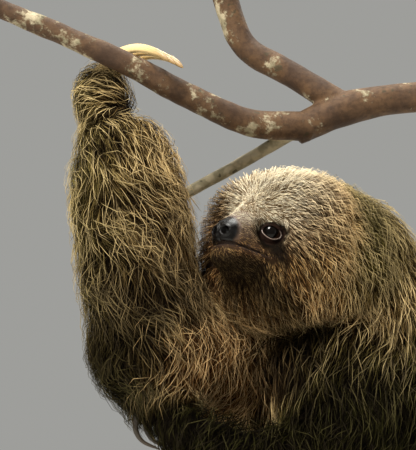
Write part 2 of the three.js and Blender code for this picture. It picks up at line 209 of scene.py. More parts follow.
def face_distances(points):
    """Folded head places, and the distance of each from the middle of the eye's opening."""
    q = mirrored(in_head(points))
    return q, np.linalg.norm((q - EYE_FRONT) * (1.0, 1.0, 1.15), axis=1)


def lid_reach(q):
    """Distance from the eye's opening, drawn in above the eye and drawn out behind it."""
    gap = q - EYE_FRONT
    sideways = gap @ EYE_ASIDE
    sideways = sideways * np.where(sideways > 0, 0.9, 1.2)
    upward = gap[:, 2] * np.where(gap[:, 2] > 0, 1.85, 1.05)
    return np.sqrt(sideways**2 + upward**2 + (gap @ GAZE) ** 2)


def markings(points, shares):
    """Masks from 0 to 1 for each point: pale, dark (the animal's own marks and painted shade), algae and
    rufous; what is left is straw brown.
    """
    part = dict(zip(NAMES, shares.T))
    head = np.clip(part["head"] + 0.6 * part["neck"], 0, 1)
    arm = part["arm_right"] + part["hand_right"]
    own = in_head(points)
    q = mirrored(own)
    forward, aside, above = q.T
    across, height = points[:, 0], points[:, 2]

    # The far side of the face is darker and redder; the flank of the muzzle is less pale than the bridge.
    far = head * step(17, 27, -own[:, 1]) * step(46, 34, own[:, 2])
    flank = step(7, 13, aside) * step(14, 3, above) * step(-22, -14, above) * step(22, 30, forward)
    reach = np.linalg.norm(q - WHORL, axis=1)
    pale = widest(
        head * step(66, 26, reach) * step(-10, 6, above + 0.25 * aside) * step(-16, 4, forward),
        head * 0.72 * step(10, 24, aside) * step(-34, 0, above) * step(-8, 10, forward) * step(54, 32, reach),
    )
    pale = pale * (1 - 0.6 * flank) * (1 - 0.85 * far)

    # Dark: the stripe and ring at the eye, beard, chin and throat, which are the animal's own, and the back of
    # the head;
    # and painted shade low on the front of body and arm and under the head.
    stripe_line = np.abs(above + 5 + 0.7 * (aside - 22)) / (5.2 + 0.14 * aside)
    throat = step(46, 26, np.linalg.norm((points - THROAT) * (1.0, 0.8, 1.15), axis=1)) * (1 - 0.4 * head)
    # low: darker towards the bottom of the body, a painted shade where the lower body lies in shade; the algae
    # below follow the same band.
    low = step(548, 436, height) * (1 - 0.6 * head)
    rear = step(4, 42, points[:, 1] - coat_values(shares, "middle"))
    dark = widest(
        head * step(1.25, 0.35, stripe_line) * step(17, 21, aside) * step(39, 31, aside) * step(6, 14, forward),
        head * step(15.0, 12.0, lid_reach(q)) * step(6, 10, aside),
        0.7 * far * step(14, 20, own[:, 2]) * step(38, 30, own[:, 2]) * hump(own[:, 1], -32, 6),
        0.88 * head * step(-13, -27, above + 0.25 * (aside - 12)) * step(-14, 8, forward) * step(44, 26, aside),
        0.85 * head * step(24, 32, forward) * step(-14, -20, above),
        0.94 * throat,
        # Painted shade on the low front of the body, lighter on the back.
        0.975 * low * (1 - 0.72 * rear),
        # Painted shade on the raised arm, darker down towards the elbow.
        arm * (1 - 0.7 * rear) * (0.2 + 0.77 * step(604, 482, height - 0.35 * (across + 60))),
        0.5 * head * step(-4, -26, forward) * step(6, 26, above),
        # Painted shade under the head.
        0.55 * head * step(-30, -46, above),
    )

    # Algae grow on the back, low on the body, on the outer side of the arm and behind the head.
    back = unit((points - BODY_MIDDLE) * (1, 1, 0)) @ -BELLYWARD
    algae = widest(
        step(-0.85, 0.3, back + 0.35 * low) * (1 - head) * (1 - 0.75 * arm),
        0.75 * low,
        arm * (0.15 + 0.55 * np.maximum(step(-62, -100, across), step(-0.2, 0.5, back))),
        0.85 * head * step(2, -28, forward) * step(-40, 6, above),
    )

    from_chest = np.linalg.norm((points - CHEST) * (0.8, 0.5, 1.15), axis=1)
    chest = step(64, 24, from_chest) * step(66, 36, points[:, 1])
    rufous = widest(
        0.95 * chest,
        0.8 * head * step(-8, -30, above) * step(22, 36, aside),
        far * (0.5 + 0.45 * step(24, 10, own[:, 2])),
        0.35 * head * step(16, 30, aside),
        0.6 * head * flank,
        0.5 * arm * step(-66, -30, across),
    )
    dark = dark * (1 - 0.72 * chest * (1 - throat))
    return np.clip(np.stack([pale, dark, algae * (1 - chest), rufous], axis=1), 0, 1)


def bare_parts(points, shares):
    """Masks for the skin that shows: bare, nose pad, lips and the wet rim of the lids."""
    own = step(0.4, 0.7, shares[:, NAMES.index("head")])[:, None]
    q, from_eye = face_distances(points)
    forward, aside, above = q.T
    mouth = above - mouth_height(forward)
    bridge = step(37, 43, forward + 0.1 * aside) * step(-2, 2, mouth) * step(18, 12, above)
    ring = step(10.8, 9.0, lid_reach(q))
    muzzle_side = step(30, 37, forward) * step(-14, -4, mouth) * step(17, 10, above)
    from_pad = np.linalg.norm((q - NOSE_PAD) * (1.05, 1.0, 0.98), axis=1)
    pad = step(14.2, 11.0, from_pad) * step(0.3, 1.4, mouth)
    lips = hump(mouth, -0.2, 1.9) * step(MOUTH_CORNER - 3, MOUTH_CORNER + 4, forward)
    from_middle = q - EYE_MIDDLE
    lid_gap = almond(from_middle @ EYE_ASIDE, from_middle[:, 2])
    rim = step(0.75, 0.3, np.abs(lid_gap - 0.05)) * step(12, 11, from_eye) * step(1.5, -1.0, from_middle[:, 2])
    bare = widest(bridge, ring, 0.55 * muzzle_side)
    return np.clip(np.stack([bare, pad, lips, rim], axis=1), 0, 1) * own


# ---------------------------------------------------------------- the skin


def mouth_height(forward):
    """Height of the mouth line in the head; it slopes down towards the corner."""
    return -11.0 - 0.11 * (54.0 - forward)


def ball(q, middle, radii):
    """Roughly the distance from an egg shape, negative inside."""
    p = q - middle
    near = np.linalg.norm(p / radii, axis=1)
    return near * (near - 1) / np.maximum(np.linalg.norm(p / np.square(radii), axis=1), 1e-6)


def wedge(q, a, b, radius_a, radius_b):
    """The distance from a round bar whose radius changes along it."""
    a, b = np.array(a, float), np.array(b, float)
    t = np.clip((q - a) @ (b - a) / ((b - a) @ (b - a)), 0, 1)
    return np.linalg.norm(q - a - t[:, None] * (b - a), axis=1) - (radius_a + (radius_b - radius_a) * t)


def meld(a, b, soft):
    """The nearer of two shapes, with a fillet of size soft between them."""
    h = np.clip(0.5 + 0.5 * (b - a) / soft, 0, 1)
    return b + (a - b) * h - soft * h * (1 - h)


def carve(a, b, soft):
    """Shape a with b taken out of it, with a fillet of size soft along the edge."""
    return -meld(-a, b, soft)


# The skull is a rounded box: half its width and height, its reach ahead of and behind the widest ring, where
# that ring lies forward and up, and how square it is across, ahead and behind.
SKULL = dict(wide=50.5, high=45.5, ahead=50.5, behind=44.0, ring=-24.0, up=2.0, across=2.5, front=6.0, rear=3.4)
# Round bars of the muzzle: two ends, the radius at each, and the size of the fillet.
MUZZLE_BARS = {
    "bridge": ((16, 0, 20), (43, 0, 0.5), 14, 11.4, 8),
    "upper_jaw": ((14, 3, -6), (45, 0, -5.5), 16.5, 11.4, 7),
    "lower_jaw": ((16, 9, -20), (44.5, 5.6, -16.4), 15, 9.4, 5),
}
# Egg shapes of the face: middle, half sizes and the size of the fillet.
FACE_EGGS = {
    "nose_pad": ((51.4, 0, -2.4), (7.8, 11.0, 8.8), 2.5),
    "lip": ((47, 5.5, -7), (8.5, 6.5, 4.6), 3),
    "brow": ((17, 22, 13.5), (10.5, 12, 5.5), 5),
    "cheek": ((12, 30, -12), (13, 14, 16), 8),
}
# The eye's opening: its reach to the inner and outer corner, its height above and below, and its slope.
ALMOND = dict(inner=6.7, outer=6.1, above=4.2, below=4.3, slope=0.14)


def head_form(q):
    """The bare head under its coat, as a distance that is negative inside. q is folded to the left half."""
    ahead = q[:, 0] > SKULL["ring"]
    across, square = SKULL["across"], np.where(ahead, SKULL["front"], SKULL["rear"])
    rim = np.abs(q[:, 1] / SKULL["wide"]) ** across + np.abs((q[:, 2] - SKULL["up"]) / SKULL["high"]) ** across
    rim = rim ** (1 / across)
    depth = (q[:, 0] - SKULL["ring"]) / np.where(ahead, SKULL["ahead"], SKULL["behind"])
    form = ((rim**square + np.abs(depth) ** square) ** (1 / square) - 1) * SKULL["behind"]
    for *bar, soft in MUZZLE_BARS.values():
        form = meld(form, wedge(q, *bar), soft)
    for middle, radii, soft in FACE_EGGS.values():
        form = meld(form, ball(q, middle, radii), soft)

    # The closed mouth is a groove between two lips.
    mouth = q[:, 2] - mouth_height(q[:, 0])
    shut = step(MOUTH_CORNER - 4, MOUTH_CORNER + 6, q[:, 0])
    lips = 0.5 * hump(mouth, -2.3, 1.3) + 0.3 * hump(mouth, 2.0, 1.2)
    form = form + shut * (1.3 * hump(mouth, 0, 0.9) - lips)

    # Each nostril is a pit with a raised edge, and the pad is parted between them.
    from_pit = np.linalg.norm((q - NOSTRIL) * (0.45, 1.0, 1.05), axis=1)
    form = form + 4.6 * step(3.2, 1.5, from_pit)
    form = form - 0.6 * hump(from_pit, 3.7, 0.9)
    parting = hump(q[:, 1], 0, 0.9) * step(49, 54, q[:, 0]) * step(3, 0, q[:, 2]) * step(-11, -9, q[:, 2])
    form = form + 0.8 * parting

    form = carve(form, np.linalg.norm(q - SOCKET, axis=1) - 11.2, 3.0)
    return meld(form, np.linalg.norm(q - EYE_MIDDLE, axis=1) - (EYE_RADIUS + LID_THICK), 2.4)


def almond(sideways, upward):
    """Distance in mm outside the edge of the eye's opening, seen along the eye's gaze."""

    def level(across, height):
        inner = across < 0
        share = np.abs(across / np.where(inner, ALMOND["inner"], ALMOND["outer"])) ** np.where(inner, 1.4, 1.7)
        return share + np.abs(height / np.where(height > 0, ALMOND["above"], ALMOND["below"])) ** 1.9

    sideways = sideways - OPENING[0]
    upward = upward - OPENING[1] + ALMOND["slope"] * sideways
    nudge = 0.05
    slope_across = (level(sideways + nudge, upward) - level(sideways - nudge, upward)) / (2 * nudge)
    slope_up = (level(sideways, upward + nudge) - level(sideways, upward - nudge)) / (2 * nudge)
    return (level(sideways, upward) - 1) / np.maximum(np.hypot(slope_across, slope_up), 0.08)


def sides_of(q):
    """1 for every axis, but -1 to the side where a head place lies on the right half."""
    return np.where(q[:, 1:2] < 0, -1.0, 1.0) * (0, 1, 0) + (1, 0, 1)


def open_lids(skin):
    """Lays the lids on the eye, parts them in an almond and folds the skin above and below them."""
    chosen = np.flatnonzero(face_distances(skin.points)[1] < 17)
    q = in_head(skin.points[chosen])
    side = sides_of(q)
    p = q * side - EYE_MIDDLE
    sideways, upward, out = p @ EYE_ASIDE, p[:, 2], p @ GAZE
    gap = almond(sideways, upward)
    off_axis = np.hypot(sideways, upward)
    lid_radius, lid_edge = EYE_RADIUS + LID_THICK, 8.3
    on_ball = np.sqrt(lid_radius**2 - np.minimum(off_axis, lid_edge) ** 2)
    on_ball = on_ball - 0.2 * np.maximum(off_axis - lid_edge, 0)
    ahead = step(-2.0, 1.0, out)
    lifted = out + (np.minimum(out, on_ball) - out) * step(5.5, 1.5, gap) * ahead
    lifted = lifted + ahead * (0.45 * hump(gap, 0.5, 0.5) - 0.7 * step(0, 2, upward) * hump(gap, 2.6, 0.7))
    lifted = lifted - ahead * 0.4 * step(0, -2, upward) * hump(gap, 3.4, 0.8)
    lifted = lifted + (on_ball - 3.4 - lifted) * step(0.15, -0.45, gap) * ahead
    skin.points[chosen] = from_head((q * side + (lifted - out)[:, None] * GAZE) * side)


def slope_of(form, q):
    """The gradient of a form at each point."""
    nudge = 0.15
    rises = [form(q + nudge * axis) - form(q - nudge * axis) for axis in np.eye(3)]
    return np.stack(rises, axis=1) / (2 * nudge)


class Skin:
    """The skin as arrays, so that it can be shaped in bulk."""

    def __init__(self, mesh):
        self.mesh = mesh
        count = len(mesh.vertices)
        self.points = np.empty(count * 3)
        mesh.vertices.foreach_get("co", self.points)
        self.points = self.points.reshape(-1, 3) / MM
        self.edges = np.empty(len(mesh.edges) * 2, int)
        mesh.edges.foreach_get("vertices", self.edges)
        self.edges = self.edges.reshape(-1, 2)
        mesh.calc_loop_triangles()
        self.triangles = np.empty(len(mesh.loop_triangles) * 3, int)
        mesh.loop_triangles.foreach_get("vertices", self.triangles)
        self.triangles = self.triangles.reshape(-1, 3)
        self.neighbours = np.maximum(np.bincount(self.edges.ravel(), minlength=count), 1)

    def spread(self, values):
        """Each vertex's value as the mean of its neighbours'."""
        a, b = self.edges.T
        count = len(self.points)
        sums = [np.bincount(a, v[b], count) + np.bincount(b, v[a], count) for v in values.T]
        return np.stack(sums, axis=1) / self.neighbours[:, None]

    def smooth(self, rounds, weight=1.0):
        """Evens out the surface without shrinking it much."""
        weight = np.broadcast_to(np.asarray(weight, float).reshape(-1, 1), (len(self.points), 1))
        for _ in range(rounds):
            self.points += 0.5 * weight * (self.spread(self.points) - self.points)
            self.points -= 0.52 * weight * (self.spread(self.points) - self.points)

    def normals(self):
        """Each vertex's outward direction."""
        a, b, c = (self.points[self.triangles[:, k]] for k in range(3))
        face = np.cross(b - a, c - a)
        count = len(self.points)
        total = np.zeros((count, 3))
        for k in range(3):
            for axis in range(3):
                total[:, axis] += np.bincount(self.triangles[:, k], face[:, axis], count)
        return unit(total)

    def store(self):
        """Writes the points back to the mesh."""
        self.mesh.vertices.foreach_set("co", (self.points * MM).astype(np.float32).ravel())
        self.mesh.update()


FLESH = ["neck", "chest", "belly", "rump", "tail"] + [
    f"{part}_{side}"
    for part in ("arm_upper", "arm_fore", "hand", "thigh", "shank", "foot")
    for side in ("left", "right")
]
# The step at which solids fuse, how much they grow first so that they meet, the point inside the head from
# which its form is found, and a distance that is surely outside it.
VOXEL = 3.0
OVERLAP = 0.4
HEAD_HEART = np.array([8.0, 0.0, 0.0])
HEAD_REACH = 90.0


def new_object(name, mesh):
    """An object in the scene, with the mesh given."""
    piece = bpy.data.objects.new(name, mesh)
    bpy.context.scene.collection.objects.link(piece)
    return piece


def piece_from(name, shape):
    """An object made of a bmesh, which is then let go."""
    mesh = bpy.data.meshes.new(name)
    shape.to_mesh(mesh)
    shape.free()
    return new_object(name, mesh)


def write_values(mesh, name, values):
    """Stores four values at each vertex, under a name that the finishes read."""
    layer = mesh.attributes.new(name, "FLOAT_COLOR", "POINT")
    layer.data.foreach_set("color", values.astype(np.float32).ravel())


def fused(name, source, voxel):
    """One closed piece made of all the solids in source, a bmesh."""
    piece = piece_from(name, source)
    remesh = piece.modifiers.new("fuse", "REMESH")
    remesh.mode = "VOXEL"
    remesh.voxel_size = voxel * MM
    remesh.use_smooth_shade = True
    solids = piece.data
    depsgraph = bpy.context.evaluated_depsgraph_get()
    mesh = bpy.data.meshes.new_from_object(piece.evaluated_get(depsgraph))
    piece.modifiers.clear()
    piece.data = mesh
    bpy.data.meshes.remove(solids)
    return piece


def flesh_solids():
    """Every flesh node in one bmesh, grown a little so that neighbours fuse."""
    whole = bmesh.new()
    for name in FLESH:
        whole.from_mesh(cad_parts[name].data)
    bmesh.ops.remove_doubles(whole, verts=whole.verts, dist=0.02 * MM)
    whole.normal_update()
    grown = [v.co + v.normal * (OVERLAP * MM) for v in whole.verts]
    for v, place in zip(whole.verts, grown):
        v.co = place
    return whole


def finer(mesh, wanted):
    """Cuts every face that wanted() picks by its middle into four."""
    shape = bmesh.new()
    shape.from_mesh(mesh)
    middles = np.array([f.calc_center_median() for f in shape.faces]) / MM
    picked = wanted(middles)
    edges = {e for f, chosen in zip(shape.faces, picked) if chosen for e in f.edges}
    bmesh.ops.subdivide_edges(shape, edges=list(edges), cuts=1, use_grid_fill=True)
    shape.to_mesh(mesh)
    shape.free()


def face_area(points):
    """The front of the head, where the skin follows head_form."""
    q = mirrored(in_head(points))
    own = step(0.35, 0.7, limb_shares(points)[:, NAMES.index("head")])
    return step(-26, 0, q[:, 0]) * own


def head_solid():
    """The head as a ball drawn out to head_form along lines from its middle."""
    shape = bmesh.new()
    bmesh.ops.create_icosphere(shape, subdivisions=5, radius=1.0)
    ways = unit(np.array([v.co for v in shape.verts]))
    low, high = np.zeros(len(ways)), np.full(len(ways), HEAD_REACH)
    for _ in range(16):
        middle = (low + high) / 2
        outside = head_form(mirrored(HEAD_HEART + ways * middle[:, None])) > 0
        low, high = np.where(outside, low, middle), np.where(outside, middle, high)
    for v, place in zip(shape.verts, from_head(HEAD_HEART + ways * low[:, None]) * MM):
        v.co = place
    return shape


def detail(eye_reach, mouth_reach, mouth_aside, front):
    """A choice for finer(): round the eye, along the mouth and ahead of front."""

    def wanted(points):
        q, from_eye = face_distances(points)
        near_mouth = np.abs(q[:, 2] - mouth_height(q[:, 0])) < mouth_reach
        near_mouth = near_mouth & (q[:, 0] > MOUTH_CORNER - mouth_reach) & (q[:, 1] < mouth_aside)
        return ((from_eye < eye_reach) | (q[:, 0] > front) | near_mouth) & (face_area(points) > 0.3)

    return wanted


def lay_on_form(skin, weight, rounds):
    """Moves the skin's face on to head_form by as much as weight says."""
    chosen = np.flatnonzero(weight > 0.001)
    q = in_head(skin.points[chosen])
    start = q.copy()
    side = sides_of(q)
    for _ in range(rounds):
        folded = q * side
        gap = head_form(folded)
        slope = slope_of(head_form, folded) * side
        move = slope * (gap / np.maximum((slope**2).sum(axis=1), 0.15))[:, None]
        size = np.linalg.norm(move, axis=1, keepdims=True)
        q = q - move * np.minimum(1, 3.0 / np.maximum(size, 1e-6))
    skin.points[chosen] = from_head(start + (q - start) * weight[chosen, None])


def make_skin():
    """The whole skin: flesh drawn in by the coat's depth, and a head whose face is laid on head_form."""
    piece = fused("flesh", flesh_solids(), VOXEL)
    body = Skin(piece.data)
    body.smooth(8)
    shares = limb_shares(body.points)
    depth = coat_values(shares, "depth")
    rounds = 5
    for _ in range(rounds):
        body.points -= body.normals() * (depth / rounds)[:, None]
        for _ in range(4):
            body.points += 0.5 * (body.spread(body.points) - body.points)
    body.store()
    whole = head_solid()
    whole.from_mesh(piece.data)
    bpy.data.objects.remove(piece)
    piece = fused("skin", whole, VOXEL)
    skin = Skin(piece.data)
    skin.smooth(2, 1 - face_area(skin.points))
    lay_on_form(skin, face_area(skin.points), 3)
    skin.store()
    finer(piece.data, lambda p: face_area(p) > 0.3)
    finer(piece.data, detail(eye_reach=16, mouth_reach=6, mouth_aside=26, front=40))
    for wanted in (detail(eye_reach=13, mouth_reach=3, mouth_aside=22, front=50), None):
        skin = Skin(piece.data)
        lay_on_form(skin, face_area(skin.points), 2)
        skin.points += 0.4 * (skin.spread(skin.points) - skin.points)
        lay_on_form(skin, face_area(skin.points), 1)
        if wanted:
            skin.store()
            finer(piece.data, wanted)
    open_lids(skin)
    skin.store()
    return piece, skin


# ---------------------------------------------------------------- the lie of the coat


def flow_over(points, normals, shares):
    """The way the coat lies at each point of the skin, as unit vectors along the skin."""
    own = in_head(points)
    forward, _, above = own.T
    across = points[:, 0]
    part = dict(zip(NAMES, shares.T))
    head, neck = part["head"], part["neck"]

    # Body and legs: down, and round towards the belly on the flanks.
    off_spine = (points - SPINE) * (1, 1, 0)
    sideways = unit(off_spine - (off_spine @ BELLYWARD)[:, None] * BELLYWARD)
    flank = np.abs(off_spine @ LEFTWARD)
    flank = flank / (1 + flank)
    body = -UP + 0.42 * BELLYWARD * flank[:, None] + 0.1 * sideways

    # Head: out from the whorl and then down, and back along the bridge of the muzzle.
    droop = step(-5, -40, above) * 0.9 + step(18, -20, forward) * 0.5
    face = from_head_way(unit(own - WHORL)) - UP * droop[:, None]
    backward = np.stack([-np.ones(len(own)), 0.25 * np.sign(own[:, 1]), np.full(len(own), -0.25)], axis=1)
    muzzle = step(30, 38, forward) * step(18, 8, above)
    face = face + (from_head_way(backward) - face) * muzzle[:, None]

    # Raised arm: down and apart from its middle; low on it the coat turns into the body's. Hand: over and up.
    apart = 0.75 * step(-104, -66, across) - 0.45 * step(-84, -112, across)
    upper = step(470, 500, points[:, 2])[:, None]
    arm = (-UP + apart[:, None] * RIGHT) * upper + (body + (0.35, 0, 0)) * (1 - upper)
    over = -0.9 * step(-108, -88, across)
    rise = 0.5 * step(-80, -62, across) - 1.0 * step(-78, -100, across)
    hand = over[:, None] * RIGHT + rise[:, None] * UP - 0.12 * RIGHT

    rest = np.clip(1 - head - neck * 0.5 - part["arm_right"] - part["hand_right"], 0, 1)
    flow = (
        arm * part["arm_right"][:, None]
        + hand * part["hand_right"][:, None]
        + face * (head + 0.5 * neck)[:, None]
        + body * rest[:, None]
    )
    return along_skin(flow, normals)


def along_skin(way, normals):
    """Directions laid flat on the skin, as unit vectors."""
    return unit(way - (way * normals).sum(axis=1)[:, None] * normals)


# The pieces of the coat and the limbs that each covers.
PIECES = {
    "fur_head": ["head"], "fur_neck": ["neck"], "fur_trunk_upper": ["trunk"], "fur_tail": ["tail"],
    "fur_arm_right": ["arm_right"], "fur_hand_right": ["hand_right"], "fur_arm_left": ["arm_left", "hand_left"],
    "fur_leg_left": ["leg_left", "foot_left"], "fur_leg_right": ["leg_right", "foot_right"],
}
# The share of tufts that are long pale strands, the most triangles in a piece, the size of a tuft's patch on
# the map, and the sides of a tuft.
STRANDS = 0.16
MOST_TRIANGLES = 190_000
PATCH = 0.003
SIDES = 3


def swirl(points):
    """A smooth random turn for each point, between about -1 and 1, that hardly changes over 10 mm."""
    total = np.zeros(len(points))
    for size in (3.4, 4.6, 6.1, 8.3):
        total += np.sin(points @ unit(DICE.normal(size=3)) / size + DICE.random() * math.tau)
    return total / 2.2


class Field:
    """What the coat asks of the skin: nearest vertex, normals, the lie of the coat, limbs and bare parts."""

    def __init__(self, skin):
        self.skin = skin
        self.normals = skin.normals()
        self.shares = limb_shares(skin.points)
        self.flow = flow_over(skin.points, self.normals, self.shares)
        for _ in range(3):
            self.flow = skin.spread(self.flow)
        turn = coat_values(self.shares, "swirl") * swirl(skin.points)
        self.flow = along_skin(turned(self.flow, self.normals, turn), self.normals)
        self.bare = bare_parts(skin.points, self.shares)
        self.tree = KDTree(len(skin.points))
        for k, place in enumerate(skin.points):
            self.tree.insert(place, k)
        self.tree.balance()

    def nearest(self, points):
        """The nearest vertex of the skin to each point."""
        find = self.tree.find
        return np.fromiter((find(p)[1] for p in points), int, len(points))


def scatter(skin, density):
    """Random points on the skin, with the wanted number per square mm given at each vertex."""
    corners = skin.points[skin.triangles]
    area = 0.5 * np.linalg.norm(np.cross(corners[:, 1] - corners[:, 0], corners[:, 2] - corners[:, 0]), axis=1)
    total = np.cumsum(area * density[skin.triangles].mean(axis=1))
    count = int(total[-1])
    marks = (np.arange(count) + DICE.random(count)) * (total[-1] / count)
    picks = np.minimum(np.searchsorted(total, marks), len(area) - 1)
    a, b = DICE.random((2, count, 1))
    flip = a + b > 1
    a, b = np.where(flip, 1 - a, a), np.where(flip, 1 - b, b)
    c = corners[picks]
    return c[:, 0] + a * (c[:, 1] - c[:, 0]) + b * (c[:, 2] - c[:, 0])


def turned(way, normal, angle):
    """Directions along the skin, turned about its normal."""
    return way * np.cos(angle)[:, None] + np.cross(normal, way) * np.sin(angle)[:, None]


def grow(field, roots, near, length, lift, stray, wave, parts):
    """The middle line of every tuft: parts + 1 points that follow the lie of the coat over the skin."""
    count = len(roots)
    lean = DICE.normal(0, 1, count) * stray
    phase, swing = DICE.random(count) * math.tau, DICE.normal(0, 1, count) * wave
    line = [roots - field.normals[near] * 0.6]
    place, way = roots.copy(), turned(field.flow[near], field.normals[near], lean)
    for k in range(1, parts + 1):
        t = k / parts
        aim = turned(field.flow[near], field.normals[near], lean + swing * np.sin(phase + 4.2 * t))
        way = unit(0.45 * way + 0.55 * aim)
        place = place + way * (length / parts)[:, None]
        near = field.nearest(place)
        height = lift * (1 - (1 - min(1, 1.5 * t)) ** 2) * (1 - 0.38 * max(0, t - 0.45))
        normal = field.normals[near]
        off = ((place - field.skin.points[near]) * normal).sum(axis=1)
        place = place + normal * (height - off)[:, None]
        line.append(place)
    return np.stack(line, axis=1), field.normals[near]


def lock_together(line, share, gap):
    """Draws the tips of tufts together in pointed locks; gives the lines and each tuft's leader."""
    count = len(line)
    leaders = DICE.choice(count, max(1, int(count / max(gap, 1))), replace=False)
    tree = KDTree(len(leaders))
    for k, leader in enumerate(leaders):
        tree.insert(line[leader, 0], k)
    tree.balance()
    follow = leaders[np.fromiter((tree.find(p)[1] for p in line[:, 0]), int, count)]
    pull = share * (0.6 + 0.4 * DICE.random(count))
    steps = np.linspace(0, 1, line.shape[1])
    weight = pull[:, None, None] * (steps[None, :, None] ** 1.5)
    return line + (line[follow] - line) * weight, follow


def tuft_faces(knots, per):
    """The triangles of one tuft of per vertices: a closed root, sides round each ring and a point."""
    faces = [[2, 1, 0]]
    for k in range(knots - 2):
        for c in range(SIDES):
            a, b = k * SIDES + c, k * SIDES + (c + 1) % SIDES
            faces += [[a, b, b + SIDES], [a, b + SIDES, a + SIDES]]
    last = (knots - 2) * SIDES
    faces += [[last + c, last + (c + 1) % SIDES, per - 1] for c in range(SIDES)]
    return np.array(faces)


def tuft_mesh(name, line, normal, width, marks, seeds, place):
    """Closed three-sided spikes round the lines, as one mesh, with its attributes and its OFBake map."""
    count, knots = line.shape[0], line.shape[1]
    way = unit(np.gradient(line, axis=1))
    side = unit(np.cross(way, normal[:, None, :]))
    out = np.cross(side, way)
    steps = np.linspace(0, 1, knots)
    thick = width[:, None] * (0.55 + 0.45 * np.sin(math.pi * np.minimum(steps * 0.9 + 0.2, 1)))[None, :]
    rings = []
    for corner in range(SIDES):
        angle = math.tau * (corner / SIDES + 0.25)
        rings.append(line + thick[..., None] * (side * math.cos(angle) * 0.5 + out * math.sin(angle) * 0.28))
    rings = np.stack(rings, axis=2)[:, :-1]
    verts = np.concatenate([rings.reshape(count, -1, 3), line[:, -1:]], axis=1)
    per = verts.shape[1]
    starts = np.arange(count) * per
    faces = (tuft_faces(knots, per)[None] + starts[:, None, None]).reshape(-1, 3)
    along = np.append(np.repeat(steps[:-1], SIDES), 1.0)
    across = np.append(np.tile(np.arange(SIDES) / (SIDES - 1), knots - 1), 0.5)
    patch = np.stack([across - 0.5, along - 0.5], axis=1) * PATCH
    mesh = bpy.data.meshes.new(name)
    mesh.vertices.add(count * per)
    mesh.vertices.foreach_set("co", (verts * MM).astype(np.float32).ravel())
    mesh.loops.add(len(faces) * 3)
    mesh.loops.foreach_set("vertex_index", faces.astype(np.int32).ravel())
    mesh.polygons.add(len(faces))
    mesh.polygons.foreach_set("loop_start", (np.arange(len(faces)) * 3).astype(np.int32))
    mesh.polygons.foreach_set("use_smooth", np.ones(len(faces), bool))
    mesh.update(calc_edges=True)
    write_values(mesh, "marks", np.repeat(marks, per, axis=0))
    hair = np.empty((count, per, 4))
    hair[:, :, 0], hair[:, :, 1:] = along[None], seeds[:, None]
    write_values(mesh, "hair", hair)
    uv = mesh.uv_layers.new(name="OFBake")
    spots = (place[:, None] + patch[None]).reshape(-1, 2)
    uv.uv.foreach_set("vector", spots[faces.ravel()].astype(np.float32).ravel())
    return mesh


def unwrapped(points, limb):
    """Places on the limb's own skin: round the limb across, and along it upwards, from 0 to 1."""
    line = np.array(LIMBS[limb], float)
    place, _, _, _ = along_line(points, LIMBS[limb])
    main = unit(line[-1, :3] - line[0, :3])
    first = unit(np.cross(main, UP + 0.3 * LEFTWARD))
    middle = np.stack([np.interp(place, np.linspace(0, 1, len(line)), line[:, k]) for k in range(3)], axis=1)
    off = points - middle
    angle = np.arctan2(off @ np.cross(main, first), off @ first) / math.tau + 0.5
    beyond = (points - line[0, :3]) @ main
    low, high = beyond.min(), beyond.max()
    return np.stack([angle, (beyond - low) / max(high - low, 1e-6)], axis=1)


def map_places(roots, owner, limbs):
    """Where each tuft's patch lies on its piece's OFBake map; a second limb takes the upper quarter."""
    place = np.empty((len(roots), 2))
    for limb in limbs:
        own = owner == NAMES.index(limb)
        if own.any():
            place[own] = unwrapped(roots[own], limb)
    if len(limbs) > 1:
        second = owner == NAMES.index(limbs[1])
        place[:, 1] = np.where(second, 0.76 + 0.24 * place[:, 1], 0.74 * place[:, 1])
    return PATCH + place * (1 - 2 * PATCH)


def coat_density(field):
    """Wanted tufts per square mm at each vertex: few on bare skin, none on the nose, more in the whorl."""
    own = in_head(field.skin.points)
    head, bare = field.shares[:, 0], field.bare
    density = coat_values(field.shares, "density")
    density = density * (1 - np.clip(np.maximum(0.3 * bare[:, 0], 1.3 * bare[:, 1:].max(axis=1)), 0, 1))
    density = density * (1 - step(10.6, 9.0, lid_reach(mirrored(own))) * head)
    muzzle = 1.1 * step(33, 41, own[:, 0]) * step(20, 12, own[:, 2])
    whorl = 1.2 * step(13, 7, np.linalg.norm(own - WHORL, axis=1))
    density = density * (1 + head * (muzzle + whorl))
    return density


def head_cut(field, roots, near):
    """How the head's coat differs at each root: trimmed, in the ruff, in the beard, short, in the whorl."""
    own = in_head(roots)
    q = mirrored(own)
    forward, aside, above = q.T
    head = field.shares[near][:, 0]
    trim = step(50, 14, np.linalg.norm(q - (34, 10, 2), axis=1))
    trim = np.maximum(trim, step(26, 38, forward))
    ruff = step(28, 40, np.hypot(aside, above - 2)) * step(-14, 6, forward)
    ruff = ruff * (1 - 0.9 * step(22, 42, above) * step(34, 16, aside))
    beard = step(-12, -36, above + 0.3 * forward)
    short = np.maximum(step(22, 36, forward) * step(24, 12, above), 0.8 * step(20, 12, lid_reach(q)))
    short = np.maximum(short, field.bare[near].max(axis=1))
    whorl = step(14, 8, np.linalg.norm(own - WHORL, axis=1))
    return head[:, None] * np.stack([trim, ruff, beard, short, whorl], axis=1)


